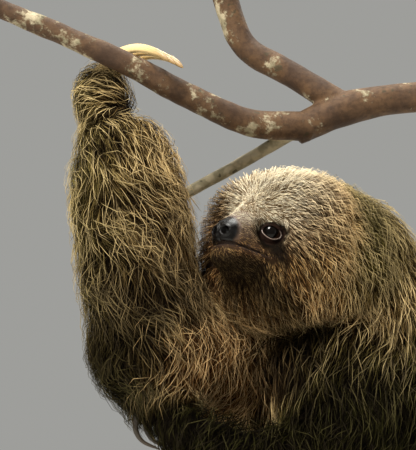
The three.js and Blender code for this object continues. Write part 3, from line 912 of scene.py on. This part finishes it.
def tufts(field, roots, near, cut, main, parts):
    """The tufts on some roots: middle lines, the skin's normals, widths, and three random values for each."""
    count, share = len(roots), field.shares[near]
    trim, ruff, beard, short, whorl = cut.T
    chance = DICE.random(count)
    strand = (DICE.random(count) < STRANDS) * (1 - 0.7 * trim) * (1 - short)
    length = coat_values(share, "length") * (0.65 + 0.6 * chance) * (1 - 0.6 * trim) * (1 + 0.2 * strand)
    length = length * (1 + 0.7 * beard) * (1 - 0.45 * short)
    rise = (0.2 + 0.8 * DICE.random(count)) * (1 - strand) + (0.85 + 0.4 * DICE.random(count)) * strand
    lift = coat_values(share, "lift") * rise * (1 - 0.8 * trim) * (1 + 0.5 * ruff) * (1 - 0.6 * short)
    stray = coat_values(share, "stray") * (1 - 0.3 * trim) * (1 + 0.7 * strand) + 0.9 * whorl
    line, normal = grow(field, roots, near, length, lift, stray, coat_values(share, "wave"), parts)
    pull = COATS[main]["lock"] * (1 - 0.4 * trim) * (1 - 0.8 * strand)
    line, leader = lock_together(line, pull, COATS[main]["gap"])
    width = coat_values(share, "width") * (0.7 + 0.6 * DICE.random(count))
    width = width * (1 - 0.2 * trim) * (1 + 0.2 * strand) * (1 - 0.3 * short)
    seeds = np.stack([DICE.random(count), strand, DICE.random(count)[leader]], axis=1)
    return line, normal, width, seeds


def make_coat(field):
    """Every piece of the coat; a piece with too many triangles is made in lots from below upwards."""
    roots = scatter(field.skin, coat_density(field))
    near = field.nearest(roots)
    shares = field.shares[near]
    owner = shares.argmax(axis=1)
    marks = markings(roots, shares)
    cut = head_cut(field, roots, near)
    pieces = []
    for piece, limbs in PIECES.items():
        mine = np.flatnonzero(np.isin(owner, [NAMES.index(limb) for limb in limbs]))
        parts = max(COATS[limb]["parts"] for limb in limbs)
        triangles = 2 * SIDES * (parts - 1) + SIDES + 1
        lots = max(1, math.ceil(len(mine) * triangles / MOST_TRIANGLES))
        order = mine[np.argsort(roots[mine, 2], kind="stable")]
        for lot, chosen in enumerate(np.array_split(order, lots)):
            name = piece if lots == 1 else f"{piece}_{lot + 1}"
            line, normal, width, seeds = tufts(field, roots[chosen], near[chosen], cut[chosen], limbs[0], parts)
            place = map_places(roots[chosen], owner[chosen], limbs)
            mesh = tuft_mesh(name, line, normal, width, marks[chosen], seeds, place)
            pieces.append(new_object(name, mesh))
    return pieces


# ---------------------------------------------------------------- finishes


class Value:
    """A socket that carries a number or a vector; arithmetic on it adds Math nodes."""

    def __init__(self, paint, socket):
        self.paint, self.socket = paint, socket

    def _math(self, operation, *terms):
        return self.paint.node("ShaderNodeMath", {"operation": operation}, *terms)

    def __add__(self, other):
        return self._math("ADD", self, other)

    def __sub__(self, other):
        return self._math("SUBTRACT", self, other)

    def __rsub__(self, other):
        return self._math("SUBTRACT", other, self)

    def __mul__(self, other):
        return self._math("MULTIPLY", self, other)

    __radd__, __rmul__ = __add__, __mul__

    def between(self, low, high):
        """0 below low, 1 above high, smooth between."""
        smooth = {"interpolation_type": "SMOOTHSTEP"}
        return self.paint.node("ShaderNodeMapRange", smooth, self, From_Min=low, From_Max=high)


class Paint:
    """One material and its nodes. Sockets are given by name, with _ for a space."""

    def __init__(self, name, **uniform):
        self.material = bpy.data.materials.new(name)
        self.material.use_nodes = True
        self.tree = self.material.node_tree
        self.shader = next(n for n in self.tree.nodes if n.type == "BSDF_PRINCIPLED")
        for socket, value in uniform.items():
            self.shader.inputs[socket.replace("_", " ")].default_value = value

    def feed(self, socket, value):
        """Links a value to a socket, or sets the socket to a plain number or colour."""
        if isinstance(value, Value):
            self.tree.links.new(value.socket, socket)
        else:
            socket.default_value = value

    def node(self, kind, settings=None, *inputs, out=0, **named):
        """Adds a node: its settings first, then its sockets in order or by name."""
        node = self.tree.nodes.new(kind)
        for key, value in (settings or {}).items():
            setattr(node, key, value)
        for k, value in enumerate(inputs):
            self.feed(node.inputs[k], value)
        for key, value in named.items():
            self.feed(node.inputs[key.replace("_", " ")], value)
        return Value(self, node.outputs[out])

    def mark(self, name, *outs):
        """The values stored on the mesh under a name."""
        node = self.node("ShaderNodeAttribute", {"attribute_name": name}).socket.node
        return [Value(self, node.outputs[out]) for out in outs]

    def split(self, colour):
        """A colour's three values."""
        node = self.node("ShaderNodeSeparateColor", None, colour).socket.node
        return [Value(self, socket) for socket in node.outputs]

    def noise(self, scale, detail=3.0, where=None, roughness=0.55):
        """Soft random spots, scale of them to a metre."""
        where = where or self.node("ShaderNodeTexCoord", out="Object")
        sockets = dict(Vector=where, Scale=scale, Detail=detail, Roughness=roughness)
        return self.node("ShaderNodeTexNoise", None, **sockets)

    def mix(self, factor, below, above):
        """below where factor is 0, above where it is 1; colours are tuples or values."""
        node = self.tree.nodes.new("ShaderNodeMix")
        node.data_type = "RGBA"
        for name, value in (("Factor_Float", factor), ("A_Color", below), ("B_Color", above)):
            socket = next(s for s in node.inputs if s.identifier == name)
            self.feed(socket, (*value, 1.0) if isinstance(value, tuple) else value)
        return Value(self, next(s for s in node.outputs if s.identifier == "Result_Color"))

    def bump(self, height, distance, strength):
        """Fine relief, distance metres high where height is 1."""
        return self.node("ShaderNodeBump", None, Height=height, Distance=distance, Strength=strength)

    def finish(self, **varying):
        """The material, with what varies over its surface linked in."""
        for socket, value in varying.items():
            self.feed(self.shader.inputs[socket.replace("_", " ")], value)
        return self.material


def tint(red, green, blue):
    """A colour named in the 0 to 255 scale of paint charts, as linear light."""
    return tuple(((c / 255 + 0.055) / 1.055) ** 2.4 if c > 10 else c / 255 / 12.92 for c in (red, green, blue))


# Each colour has a DEEP copy, a darker one for roots and for the skin under the coat: partly the hairs' own
# darker base, partly painted shade deep in the coat. BROWN and MOSS colour the dark marks, both the real ones
# and the painted shade low on the body.
STRAW, STRAW_DEEP = tint(206, 170, 112), tint(84, 60, 32)
CREAM, CREAM_DEEP = tint(255, 244, 216), tint(160, 134, 100)
BROWN, BROWN_DEEP = tint(40, 29, 16), tint(17, 11, 6)
OLIVE, OLIVE_DEEP = tint(114, 115, 53), tint(44, 44, 16)
MOSS, MOSS_DEEP = tint(43, 44, 17), tint(13, 12, 5)
RUST, RUST_DEEP = tint(220, 162, 98), tint(86, 50, 25)
# The near-black of the undercoat, also laid as painted shade at the roots, between locks and on the skin
# between the hairs.
UNDERCOAT_AND_SHADE = tint(16, 11, 6)
# SUNLIT is a painted highlight, the colour of strands in sunlight.
SUNLIT = tint(238, 212, 160)


def marked_colour(paint, deep):
    """The coat's colour from its marks, or the deep colour of roots and skin, and the pale and dark marks."""
    colour, more = paint.mark("marks", "Color", "Alpha")
    pale, dark, algae = paint.split(colour)
    mixed = paint.mix(more, STRAW_DEEP if deep else STRAW, RUST_DEEP if deep else RUST)
    mixed = paint.mix(algae, mixed, OLIVE_DEEP if deep else OLIVE)
    mixed = paint.mix(pale, mixed, CREAM_DEEP if deep else CREAM)
    shade = paint.mix(algae, BROWN_DEEP if deep else BROWN, MOSS_DEEP if deep else MOSS)
    return paint.mix(dark, mixed, shade), pale, dark


def coat_finish():
    """Hairs: dark at the root, between locks and in patches, partly the hairs' own dark base and partly painted
    shade deep in the coat, with paler tips and pale long strands over them that carry a painted highlight.
    """
    paint = Paint("coat", Roughness=0.75, Specular_IOR_Level=0.03)
    tip, pale, dark = marked_colour(paint, deep=False)
    root, _, _ = marked_colour(paint, deep=True)
    hair, lock = paint.mark("hair", "Color", "Alpha")
    along, seed, strand = paint.split(hair)
    light = along * 1.1 + seed * 1.6 + lock * 0.5 + strand * (0.75 - dark * 0.75) + pale * 0.4 - 1.35
    light = light.between(0.0, 0.95)
    colour = paint.mix(light, root, tip)
    # Painted shade deep in the coat: roots and the gaps between locks go near-black, and so do random patches
    # below.
    colour = paint.mix((1 - along).between(0.38, 0.92) * (0.92 - pale * 0.5), colour, UNDERCOAT_AND_SHADE)
    colour = paint.mix((1 - lock).between(0.45, 0.9) * (0.72 - pale * 0.42) * (1 - strand), colour, UNDERCOAT_AND_SHADE)
    # Painted highlight along the pale strands, except where the coat is dark.
    shine = strand * along.between(0.1, 0.7) * (0.34 + seed * 0.46) * (1 - dark)
    colour = paint.mix(shine, colour, SUNLIT)
    patches = paint.noise(46, 2.0).between(0.36, 0.64)
    colour = paint.mix(patches * (0.3 - pale * 0.22), colour, UNDERCOAT_AND_SHADE)
    return paint.finish(Base_Color=colour)


def skin_finish():
    """Skin: dark under the coat, a painted shade between the hairs, brown on the muzzle, nearly black round the
    eyes, a wet black nose pad.
    """
    paint = Paint("skin", Specular_IOR_Level=0.08, Coat_Roughness=0.25)
    under, pale, dark = marked_colour(paint, deep=True)
    fine = paint.noise(900, 4.0)
    coarse = paint.noise(160, 3.0)
    # Painted shade: the skin under the coat is darkened as if shaded between the hairs.
    colour = paint.mix(0.8 - 0.2 * pale, under, UNDERCOAT_AND_SHADE)
    bare_colour, rim = paint.mark("bare", "Color", "Alpha")
    bare, pad, lips = paint.split(bare_colour)
    blotch = coarse.between(0.35, 0.65)
    bridge = paint.mix(coarse.between(0.3, 0.7), tint(112, 98, 90), tint(150, 136, 128))
    muzzle = paint.mix(blotch, tint(58, 42, 32), tint(82, 62, 48))
    ring = paint.mix(blotch, tint(22, 12, 8), tint(40, 24, 17))
    shown = paint.mix((dark * 1.6).between(0.0, 1.0), paint.mix(pale * 0.6, muzzle, bridge), ring)
    colour = paint.mix(bare, colour, shown)
    colour = paint.mix(lips * 0.85, colour, tint(26, 18, 15))
    colour = paint.mix(pad, colour, tint(10, 8, 7))
    # A painted highlight: the lower lid's wet rim is painted paler along its edge, besides being glossier.
    colour = paint.mix(rim * 0.6, colour, tint(168, 146, 134))
    pores = paint.node("ShaderNodeTexVoronoi", {"feature": "DISTANCE_TO_EDGE"}, Scale=1300.0)
    height = (fine * 0.5 + pores.between(0.0, 0.25) * 0.4) * (1 - 0.6 * pad)
    rough = 0.9 - bare * 0.28 - pad * 0.6 - rim * 0.5 - lips * 0.2 + fine * 0.1
    wet = (pad * 0.3 + rim * 0.8 + lips * 0.1).between(0.0, 1.0)
    relief = paint.bump(height, 0.0003, 0.6)
    return paint.finish(Base_Color=colour, Roughness=rough.between(0.0, 1.0), Coat_Weight=wet, Normal=relief)


def eye_finish():
    """A dark brown iris that hardly differs from the pupil, wet and glossy all over."""
    paint = Paint("eye", Roughness=0.07, Specular_IOR_Level=0.15)
    (gaze,) = paint.mark("gaze", "Fac")
    rays = paint.noise(700, 3.0).between(0.3, 0.7)
    iris = paint.mix(rays, tint(26, 15, 10), tint(40, 24, 16))
    colour = paint.mix(gaze.between(0.74, 0.82), iris, tint(8, 5, 4))
    colour = paint.mix((1 - gaze).between(0.3, 0.45), colour, tint(20, 12, 9))
    return paint.finish(Base_Color=colour)


def horn_finish(name, tip, middle, base):
    """Claw horn: streaked along its length, changing colour from base to tip, with fine growth lines."""
    paint = Paint(name, Specular_IOR_Level=0.5)
    place, _ = paint.mark("hair", "Color", "Alpha")
    along, round_it, seed = paint.split(place)
    streaks = paint.node("ShaderNodeCombineXYZ", None, along * 2.5, round_it * 14.0, seed * 9.0)
    grain = paint.noise(1.0, 4.0, streaks)
    rings = paint.node("ShaderNodeTexWave", {"bands_direction": "X"}, Vector=streaks, Scale=3.0, Distortion=2.5)
    colour = paint.mix(along.between(0.0, 0.5), base, middle)
    colour = paint.mix(along.between(0.55, 1.0), colour, tip)
    colour = paint.mix(grain.between(0.42, 0.7) * 0.6, colour, tuple(c * 0.42 for c in base))
    colour = paint.mix(rings * 0.12, colour, tuple(c * 0.6 for c in middle))
    height = grain * 0.8 + rings * 0.2
    return paint.finish(Base_Color=colour, Roughness=0.34 + grain * 0.2, Normal=paint.bump(height, 0.0003, 0.5))


def bark_finish():
    """Smooth brown bark with cream lichen and dark moss, and pale wood where it is cut."""
    paint = Paint("bark", Specular_IOR_Level=0.3)
    values, _ = paint.mark("bark", "Color", "Alpha")
    cut, grey, _ = paint.split(values)
    blotch = paint.noise(34, 5.0, roughness=0.62)
    fine = paint.noise(260, 5.0, roughness=0.65)
    specks = paint.noise(120, 2.0)
    colour = paint.mix(blotch.between(0.35, 0.65), tint(60, 42, 28), tint(94, 69, 45))
    colour = paint.mix(fine.between(0.4, 0.7) * 0.6, colour, tint(48, 32, 20))
    lichen = (blotch + 0.35 * fine + 0.34 * grey).between(0.76, 0.86)
    crust = paint.mix(specks.between(0.4, 0.6), tint(176, 164, 136), tint(138, 130, 104))
    colour = paint.mix(lichen * 0.85, colour, crust)
    colour = paint.mix(specks.between(0.66, 0.72) * 0.7, colour, tint(52, 46, 28))
    wood = paint.mix(paint.noise(500, 3.0).between(0.4, 0.6), tint(206, 178, 132), tint(168, 132, 88))
    colour = paint.mix(cut, colour, wood)
    height = blotch * 0.5 + fine * 0.5 + lichen * 0.35
    return paint.finish(Base_Color=colour, Roughness=0.66 + fine * 0.2, Normal=paint.bump(height, 0.0012, 0.8))


def wood_finish():
    """Oiled hardwood of the base, with long grain and dark pores."""
    paint = Paint("stand_wood", Roughness=0.42, Coat_Weight=0.2, Coat_Roughness=0.25)
    where = paint.node("ShaderNodeTexCoord", out="Object")
    long = paint.node("ShaderNodeMapping", None, Vector=where, Scale=(5.0, 60.0, 60.0))
    grain = paint.noise(1.4, 6.0, long, 0.6)
    pores = paint.noise(9.0, 3.0, long, 0.5)
    colour = paint.mix(grain.between(0.3, 0.7), tint(92, 56, 34), tint(146, 98, 62))
    colour = paint.mix(pores.between(0.58, 0.72) * 0.6, colour, tint(58, 34, 20))
    return paint.finish(Base_Color=colour, Normal=paint.bump(grain * 0.5 + pores * 0.5, 0.0004, 0.5))


def steel_finish():
    """Satin black-brown steel of the rods, with light scuffs."""
    paint = Paint("stand_steel", Metallic=1.0)
    scuffs = paint.noise(220, 4.0)
    colour = paint.mix(scuffs.between(0.45, 0.75), tint(58, 56, 54), tint(96, 94, 90))
    relief = paint.bump(scuffs, 0.0001, 0.3)
    return paint.finish(Base_Color=colour, Roughness=0.30 + scuffs * 0.2, Normal=relief)


def floor_finish():
    """Plain matt floor, hardly mottled."""
    paint = Paint("floor", Roughness=0.9)
    colour = paint.mix(paint.noise(2.0).between(0.3, 0.7), tint(214, 212, 206), tint(220, 218, 212))
    return paint.finish(Base_Color=colour)


# ---------------------------------------------------------------- eyes, claws, branches and stand


def curve_through(points, count):
    """A smooth line through points, with any further values carried along, as count + 1 rows."""
    p = np.array(points, float)
    p = np.vstack([2 * p[0] - p[1], p, 2 * p[-1] - p[-2]])
    rows = []
    for place in np.linspace(0, len(points) - 1 - 1e-9, count + 1):
        k = int(place)
        t = place - k
        a, b, c, d = p[k : k + 4]
        bend, twist = 2 * a - 5 * b + 4 * c - d, 3 * b - 3 * c + d - a
        rows.append(0.5 * (2 * b + (c - a) * t + bend * t**2 + twist * t**3))
    return np.array(rows)


def join_rings(shape, rings):
    """Closes rings of vertices into a solid, with a flat face at each end."""
    count = len(rings[0])
    for below, above in zip(rings, rings[1:]):
        for s in range(count):
            n = (s + 1) % count
            shape.faces.new((below[s], below[n], above[n], above[s]))
    shape.faces.new(list(reversed(rings[0])))
    shape.faces.new(rings[-1])


def tube_into(shape, rows, sides, across=None, section=None):
    """Adds a closed tube to a bmesh along rows of (x, y, z, radius); section(angle) may reshape it."""
    middle, radius = rows[:, :3], rows[:, 3]
    way = unit(np.gradient(middle, axis=0))
    side = np.array(across, float) if across is not None else np.cross(way[0], UP + 0.01)
    rings = []
    for k in range(len(rows)):
        side = unit(side - (side @ way[k]) * way[k])
        out = np.cross(way[k], side)
        ring = []
        for s in range(sides):
            angle = math.tau * s / sides
            stretch = section(angle) if section else (1.0, 1.0)
            offset = side * math.cos(angle) * stretch[0] + out * math.sin(angle) * stretch[1]
            ring.append(shape.verts.new((middle[k] + offset * radius[k]) * MM))
        rings.append(ring)
    join_rings(shape, rings)
    return rings


def show(piece, material, slot, *nodes):
    """Gives a piece its finish and its place in the model."""
    piece.data.materials.clear()
    piece.data.materials.append(material)
    for polygon in piece.data.polygons:
        polygon.use_smooth = True
    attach(piece, "root")
    if nodes:
        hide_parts(*nodes)
    return piece


def make_eye(side, sign, material):
    """An eyeball with a slightly raised front; its gaze mark is 1 on the line of sight."""
    shape = bmesh.new()
    bmesh.ops.create_icosphere(shape, subdivisions=5, radius=1.0)
    fold = np.array([1, sign, 1])
    line_of_sight = GAZE * fold
    gaze = []
    for v in shape.verts:
        way = unit(np.array(v.co))
        facing = float(way @ line_of_sight)
        gaze.append(facing)
        v.co = from_head(EYE_MIDDLE * fold + way * (EYE_RADIUS + 0.35 * step(0.72, 0.98, facing))) * MM
    piece = piece_from(f"eyeball_{side}", shape)
    mark = piece.data.attributes.new("gaze", "FLOAT", "POINT")
    mark.data.foreach_set("value", np.array(gaze, np.float32))
    show(piece, material, "eye", f"eye_{side}")


# The perch lies crosswise to the body; each foot holds it grip away from its middle.
PERCH = dict(middle=np.array([28.0, -22.0, 158.0]), half=100.0, radius=13.0, grip=46.0)
# Middle lines of the middle claws of the two hands, and the way from one claw to the next.
RIGHT_HOOK = [
    (-88, 27, 661), (-84, 25, 668), (-72, 21, 679), (-57, 9, 682), (-43, -6, 677), (-34, -12, 670),
]
RIGHT_HOOK_STEP = unit(np.array([0.574, 0.801, -0.168]))
LEFT_CURL = [
    (-46, -28, 431), (-51, -28, 432), (-54, -27, 422), (-54, -26, 414), (-49, -25, 407), (-38, -25, 402),
]
LEFT_CURL_STEP = unit(np.array([0.85, 0.52, 0.1]))
# The left hand's claws are slimmer than the others by SLIM.
SLIM = 0.55
CLAW_PITCH = 8.5
CLAW_POINT = 0.9
CLAW = dict(thick=2.5, deep=3.9, tip=0.35, sides=14, steps=30)


def foot_curl(way):
    """The claws of one foot: an arc round the perch."""
    hold = PERCH["middle"] + LEFTWARD * PERCH["grip"] * way
    reach = PERCH["radius"] + 7
    turns = np.radians(np.linspace(100, -62, 8))
    return [hold + reach * (BELLYWARD * math.cos(a) + UP * math.sin(a)) for a in turns]


def make_claw(name, route, step_aside, size, material, node):
    """One long curved claw: deep, narrow, tapering to a point, with a ridge along its back."""
    rows = curve_through(route, CLAW["steps"])
    along = np.linspace(0, 1, len(rows))
    taper = CLAW["tip"] + (1 - CLAW["tip"]) * (1 - along**2.4)
    point = np.sqrt(np.maximum(1 - ((along - CLAW_POINT) / (1.001 - CLAW_POINT)) ** 2, 0.01))
    taper = np.where(along > CLAW_POINT, taper * point, taper)
    rows = np.column_stack([rows, taper])
    shape = bmesh.new()

    def section(angle):
        ridge = 1 + 0.12 * max(0.0, math.sin(angle)) ** 6
        return CLAW["thick"] * size * (1 - 0.14 * math.sin(angle)), CLAW["deep"] * size * ridge

    rings = tube_into(shape, rows, CLAW["sides"], step_aside, section)
    shape.verts.index_update()
    marks = np.zeros((len(shape.verts), 4))
    for k, ring in enumerate(rings):
        for s, v in enumerate(ring):
            marks[v.index] = (along[k], s / CLAW["sides"], DICE.random() * 0.02, 1)
    bmesh.ops.recalc_face_normals(shape, faces=shape.faces)
    piece = piece_from(name, shape)
    write_values(piece.data, "hair", marks)
    show(piece, material, "claw", node)


def make_claws():
    """Three claws on each hand and foot: lit pale horn on the raised hand, and a darker copy of it, a painted
    shade, on the others.
    """
    # Two copies of one horn: lit on the raised hand, and darkened as painted shade where the claws hang in
    # shade.
    pale = horn_finish("claw_lit", tint(150, 118, 74), tint(228, 202, 146), tint(150, 120, 70))
    dark = horn_finish("claw_shaded", tint(66, 54, 38), tint(44, 35, 24), tint(34, 27, 18))
    hooks = {
        "hand_right": (RIGHT_HOOK, RIGHT_HOOK_STEP, RIGHT_HOOK_STEP, 1, pale),
        "hand_left": (LEFT_CURL, LEFT_CURL_STEP, np.array([0, 1, 0.1]), SLIM, dark),
        "foot_left": (foot_curl(1), LEFTWARD, LEFTWARD, 1, dark),
        "foot_right": (foot_curl(-1), LEFTWARD, LEFTWARD, 1, dark),
    }
    for k in range(3):
        aside = CLAW_PITCH * (k - 1)
        for name, (route, spacing, across, size, material) in hooks.items():
            line = [np.array(place, float) + spacing * aside for place in route]
            make_claw(f"horn_{name}_{k + 1}", line, across, size, material, f"claw_{name}_{k + 1}")


# Branches as (x, y, z, radius) along each stem.
STEMS = {
    "limb": [
        (50, 38, 630, 10.5), (80, 40, 644, 12.2), (108, 40, 651, 11.2), (150, 39, 655, 10.6),
        (196, 38, 657, 10.2),
    ],
    "main": [
        (-205, -6, 735, 6.3), (-158, -4, 711, 6.8), (-115, -2, 693, 7.3), (-66, 1, 671, 8.3),
        (-24, 11, 650, 9.0), (18, 26, 634, 9.7), (60, 38, 633, 10.8),
    ],
    "fork": [(84, 41, 648, 9.6), (46, 46, 672, 9.2), (14, 51, 693, 9.2), (-2, 52, 733, 8.8)],
    "twig": [(44, 38, 626, 4.8), (6, 49, 605, 4.4), (-31, 62, 586, 4.1)],
}
BARK_VOXEL = 1.3


def stem_ends():
    """Each cut end: its middle, the way it faces and its radius."""
    ends = [(STEMS["limb"][-1], STEMS["limb"][-2]), (STEMS["main"][0], STEMS["main"][1])]
    ends += [(STEMS["fork"][-1], STEMS["fork"][-2]), (STEMS["twig"][-1], STEMS["twig"][-2])]
    for sign in (-1, 1):
        tip = PERCH["middle"] + LEFTWARD * PERCH["half"] * sign
        ends.append(((*tip, PERCH["radius"]), (*PERCH["middle"], PERCH["radius"])))
    return ends


def bark_mesh(name, stems, nodes, material):
    """Stems fused into one, with slight swellings and flat cut ends."""
    shape = bmesh.new()
    for rows in stems:
        tube_into(shape, curve_through(rows, 10 * len(rows)), 20)
    piece = fused(name, shape, BARK_VOXEL)
    wood = Skin(piece.data)
    wood.smooth(3)
    p = wood.points
    bumps = (
        np.sin(p[:, 0] / 9.1 + np.sin(p[:, 2] / 6.3)) * np.sin(p[:, 1] / 7.7 + p[:, 2] / 11.3)
        + 0.5 * np.sin(p[:, 0] / 3.7 + p[:, 1] / 2.9) * np.sin(p[:, 2] / 3.1)
    )
    cut = np.zeros(len(p))
    for tip, inner in stem_ends():
        tip, inner = np.array(tip, float), np.array(inner, float)
        way = unit(tip[:3] - inner[:3])
        ahead = (p - tip[:3]) @ way
        near = np.linalg.norm(p - tip[:3], axis=1) < tip[3] * 1.6
        off = np.linalg.norm(p - tip[:3] - ahead[:, None] * way, axis=1) / tip[3]
        cut = np.maximum(cut, near * step(-1.4, -0.5, ahead) * step(1.0, 0.86, off))
    wood.points = p + wood.normals() * (0.34 * bumps * (1 - cut))[:, None]
    wood.store()
    grey = step(40, 200, np.abs(p[:, 0] - 60)) * 0.28 + step(8, 4, np.abs(p[:, 0] + 5)) * 0.2
    on_twig = along_line(p, STEMS["twig"])[1] < 7
    values = np.stack([cut, np.maximum(grey, on_twig * 0.9), np.zeros(len(p)), np.ones(len(p))], axis=1)
    write_values(piece.data, "bark", values)
    show(piece, material, "bark", *nodes)


def make_branches():
    """The cut length of branch with its fork and twig, and the perch."""
    material = bark_finish()
    nodes = ("branch_main", "branch_limb", "branch_fork", "branch_twig")
    bark_mesh("branch", list(STEMS.values()), nodes, material)
    perch = []
    for t in np.linspace(-1, 1, 7):
        place = PERCH["middle"] + LEFTWARD * PERCH["half"] * t
        perch.append((*place, PERCH["radius"] * (1 + 0.03 * math.sin(9 * t))))
    bark_mesh("perch", [perch], ("perch_lower",), material)


BASE = dict(length=430.0, width=310.0, thick=20.0, corner=40.0, bevel=3.0)
ROD = dict(radius=5.0, flange=16.0, flange_thick=4.0, saddle=9.0)
ROD_PLACES = {"branch": (-190.0, -5.0), "perch": PERCH["middle"][:2]}


def lathe(shape, middle, profile, turns=48):
    """Adds a turned part to a bmesh: profile is (radius, height) from below upwards, round a vertical axis."""
    rings = []
    for radius, height in profile:
        ring = []
        for a in np.linspace(0, math.tau, turns, endpoint=False):
            place = np.array([middle[0] + radius * math.cos(a), middle[1] + radius * math.sin(a), height])
            ring.append(shape.verts.new(place * MM))
        rings.append(ring)
    join_rings(shape, rings)


def make_rods():
    """Two steel rods, each with a flange below and a saddle under the branch or perch."""
    steel = steel_finish()
    r, s, f, thick = ROD["radius"], ROD["saddle"], ROD["flange"], ROD["flange_thick"]
    for name, place in ROD_PLACES.items():
        low, top = (corner.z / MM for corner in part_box(f"stand_rod_{name}"))
        profile = [
            (f - 0.8, low), (f, low + 0.8), (f, low + thick - 1.0), (f - 1.0, low + thick),
            (r + 3, low + thick), (r + 0.8, low + thick + 1.2), (r, low + thick + 3.5),
            (r, top - 22), (r + 1.2, top - 19),
            (s - 1.2, top - 13), (s - 0.4, top - 9.0), (s - 0.4, top - 6.0), (s - 2.0, top - 5.2),
        ]
        shape = bmesh.new()
        lathe(shape, place, profile)
        show(piece_from(f"rod_{name}", shape), steel, "stand_steel", f"stand_rod_{name}")


def make_base():
    """The wooden base: round corners, bevelled edges and a top that lies a little below its border."""
    b, t = BASE["bevel"], BASE["thick"]
    border = (
        (b * 0.5, 0.0), (0.0, b * 0.5), (0.0, t - b), (b * 0.3, t - b * 0.3), (b, t), (b + 9, t),
        (b + 10.5, t - 0.8), (b + 12, t - 0.8),
    )
    half_length, half_width = BASE["length"] / 2 - BASE["corner"], BASE["width"] / 2 - BASE["corner"]
    outline = []
    for cx, cy, start in ((1, 1, 0), (-1, 1, 90), (-1, -1, 180), (1, -1, 270)):
        for a in np.radians(np.linspace(start, start + 90, 12)):
            outline.append((cx * half_length, cy * half_width, a))
    shape = bmesh.new()
    rings = []
    for inset, height in border:
        reach = BASE["corner"] - inset
        ring = []
        for cx, cy, a in outline:
            place = Vector((cx + reach * math.cos(a), cy + reach * math.sin(a), height))
            ring.append(shape.verts.new(place * MM))
        rings.append(ring)
    join_rings(shape, rings)
    show(piece_from("base", shape), wood_finish(), "stand_wood", "stand_base")


# ---------------------------------------------------------------- floor, lights and camera


def make_stage():
    """The floor that the model stands on."""
    shape = bmesh.new()
    bmesh.ops.create_grid(shape, x_segments=8, y_segments=8, size=6.0)
    floor = piece_from("floor", shape)
    floor.data.materials.append(floor_finish())


def area_light(name, place, aim, size, power, colour):
    """A square lamp that shines from place towards aim."""
    lamp = bpy.data.lights.new(name, "AREA")
    lamp.size, lamp.energy, lamp.color = size, power, colour
    light = bpy.data.objects.new(name, lamp)
    bpy.context.scene.collection.objects.link(light)
    light.location = place
    light.rotation_euler = looking(place, aim)


def looking(place, aim):
    """The turn that points a lamp or camera from place to aim."""
    return (Vector(aim) - Vector(place)).to_track_quat("-Z", "Y").to_euler()


CAMERA_PLACE = (-0.0119, -2.673, 0.278)
CAMERA_AIM = (-0.0119, 0.012, 0.560)
CAMERA_LENS = 333.8
SENSOR_WIDTH = 36.0


def make_camera_and_lights():
    """A camera with a long lens, a warm key light, softer ones round it and a dim studio."""
    scene = bpy.context.scene
    camera = bpy.data.objects.new("camera", bpy.data.cameras.new("camera"))
    scene.collection.objects.link(camera)
    camera.location = CAMERA_PLACE
    camera.rotation_euler = looking(CAMERA_PLACE, CAMERA_AIM)
    camera.data.lens, camera.data.sensor_width, camera.data.sensor_fit = CAMERA_LENS, SENSOR_WIDTH, "HORIZONTAL"
    camera.data.clip_end = 30.0
    scene.camera = camera
    scene.view_settings.view_transform = "Standard"
    area_light("key", (-0.9, -1.3, 2.3), (0.0, 0.0, 0.5), 0.7, 106, (1.0, 0.97, 0.90))
    area_light("top", (0.3, 0.5, 2.4), (0.0, 0.0, 0.5), 1.0, 56, (1.0, 0.99, 0.93))
    area_light("fill", (2.0, -1.8, 0.9), (0.0, 0.0, 0.45), 1.6, 9, (0.95, 0.98, 1.0))
    area_light("rim", (1.5, 1.4, 1.3), (0.0, 0.0, 0.5), 0.8, 22, (1.0, 1.0, 0.94))
    world = bpy.data.worlds.new("studio")
    scene.world = world
    world.use_nodes = True
    background = world.node_tree.nodes["Background"]
    background.inputs["Color"].default_value = (0.90, 0.90, 0.86, 1.0)
    background.inputs["Strength"].default_value = 0.38


def main():
    """Builds every piece of the model, and the floor, lights and camera round it."""
    make_camera_and_lights()
    make_stage()
    piece, skin = make_skin()
    field = Field(skin)
    write_values(piece.data, "marks", markings(skin.points, field.shares))
    write_values(piece.data, "bare", field.bare)
    show(piece, skin_finish(), "face_coat", "head", "muzzle", "nose", "jaw", *FLESH)
    eye = eye_finish()
    make_eye("left", 1, eye)
    make_eye("right", -1, eye)
    make_claws()
    make_branches()
    make_rods()
    make_base()
    coat = coat_finish()
    for fur in make_coat(field):
        show(fur, coat, "coat")


main()
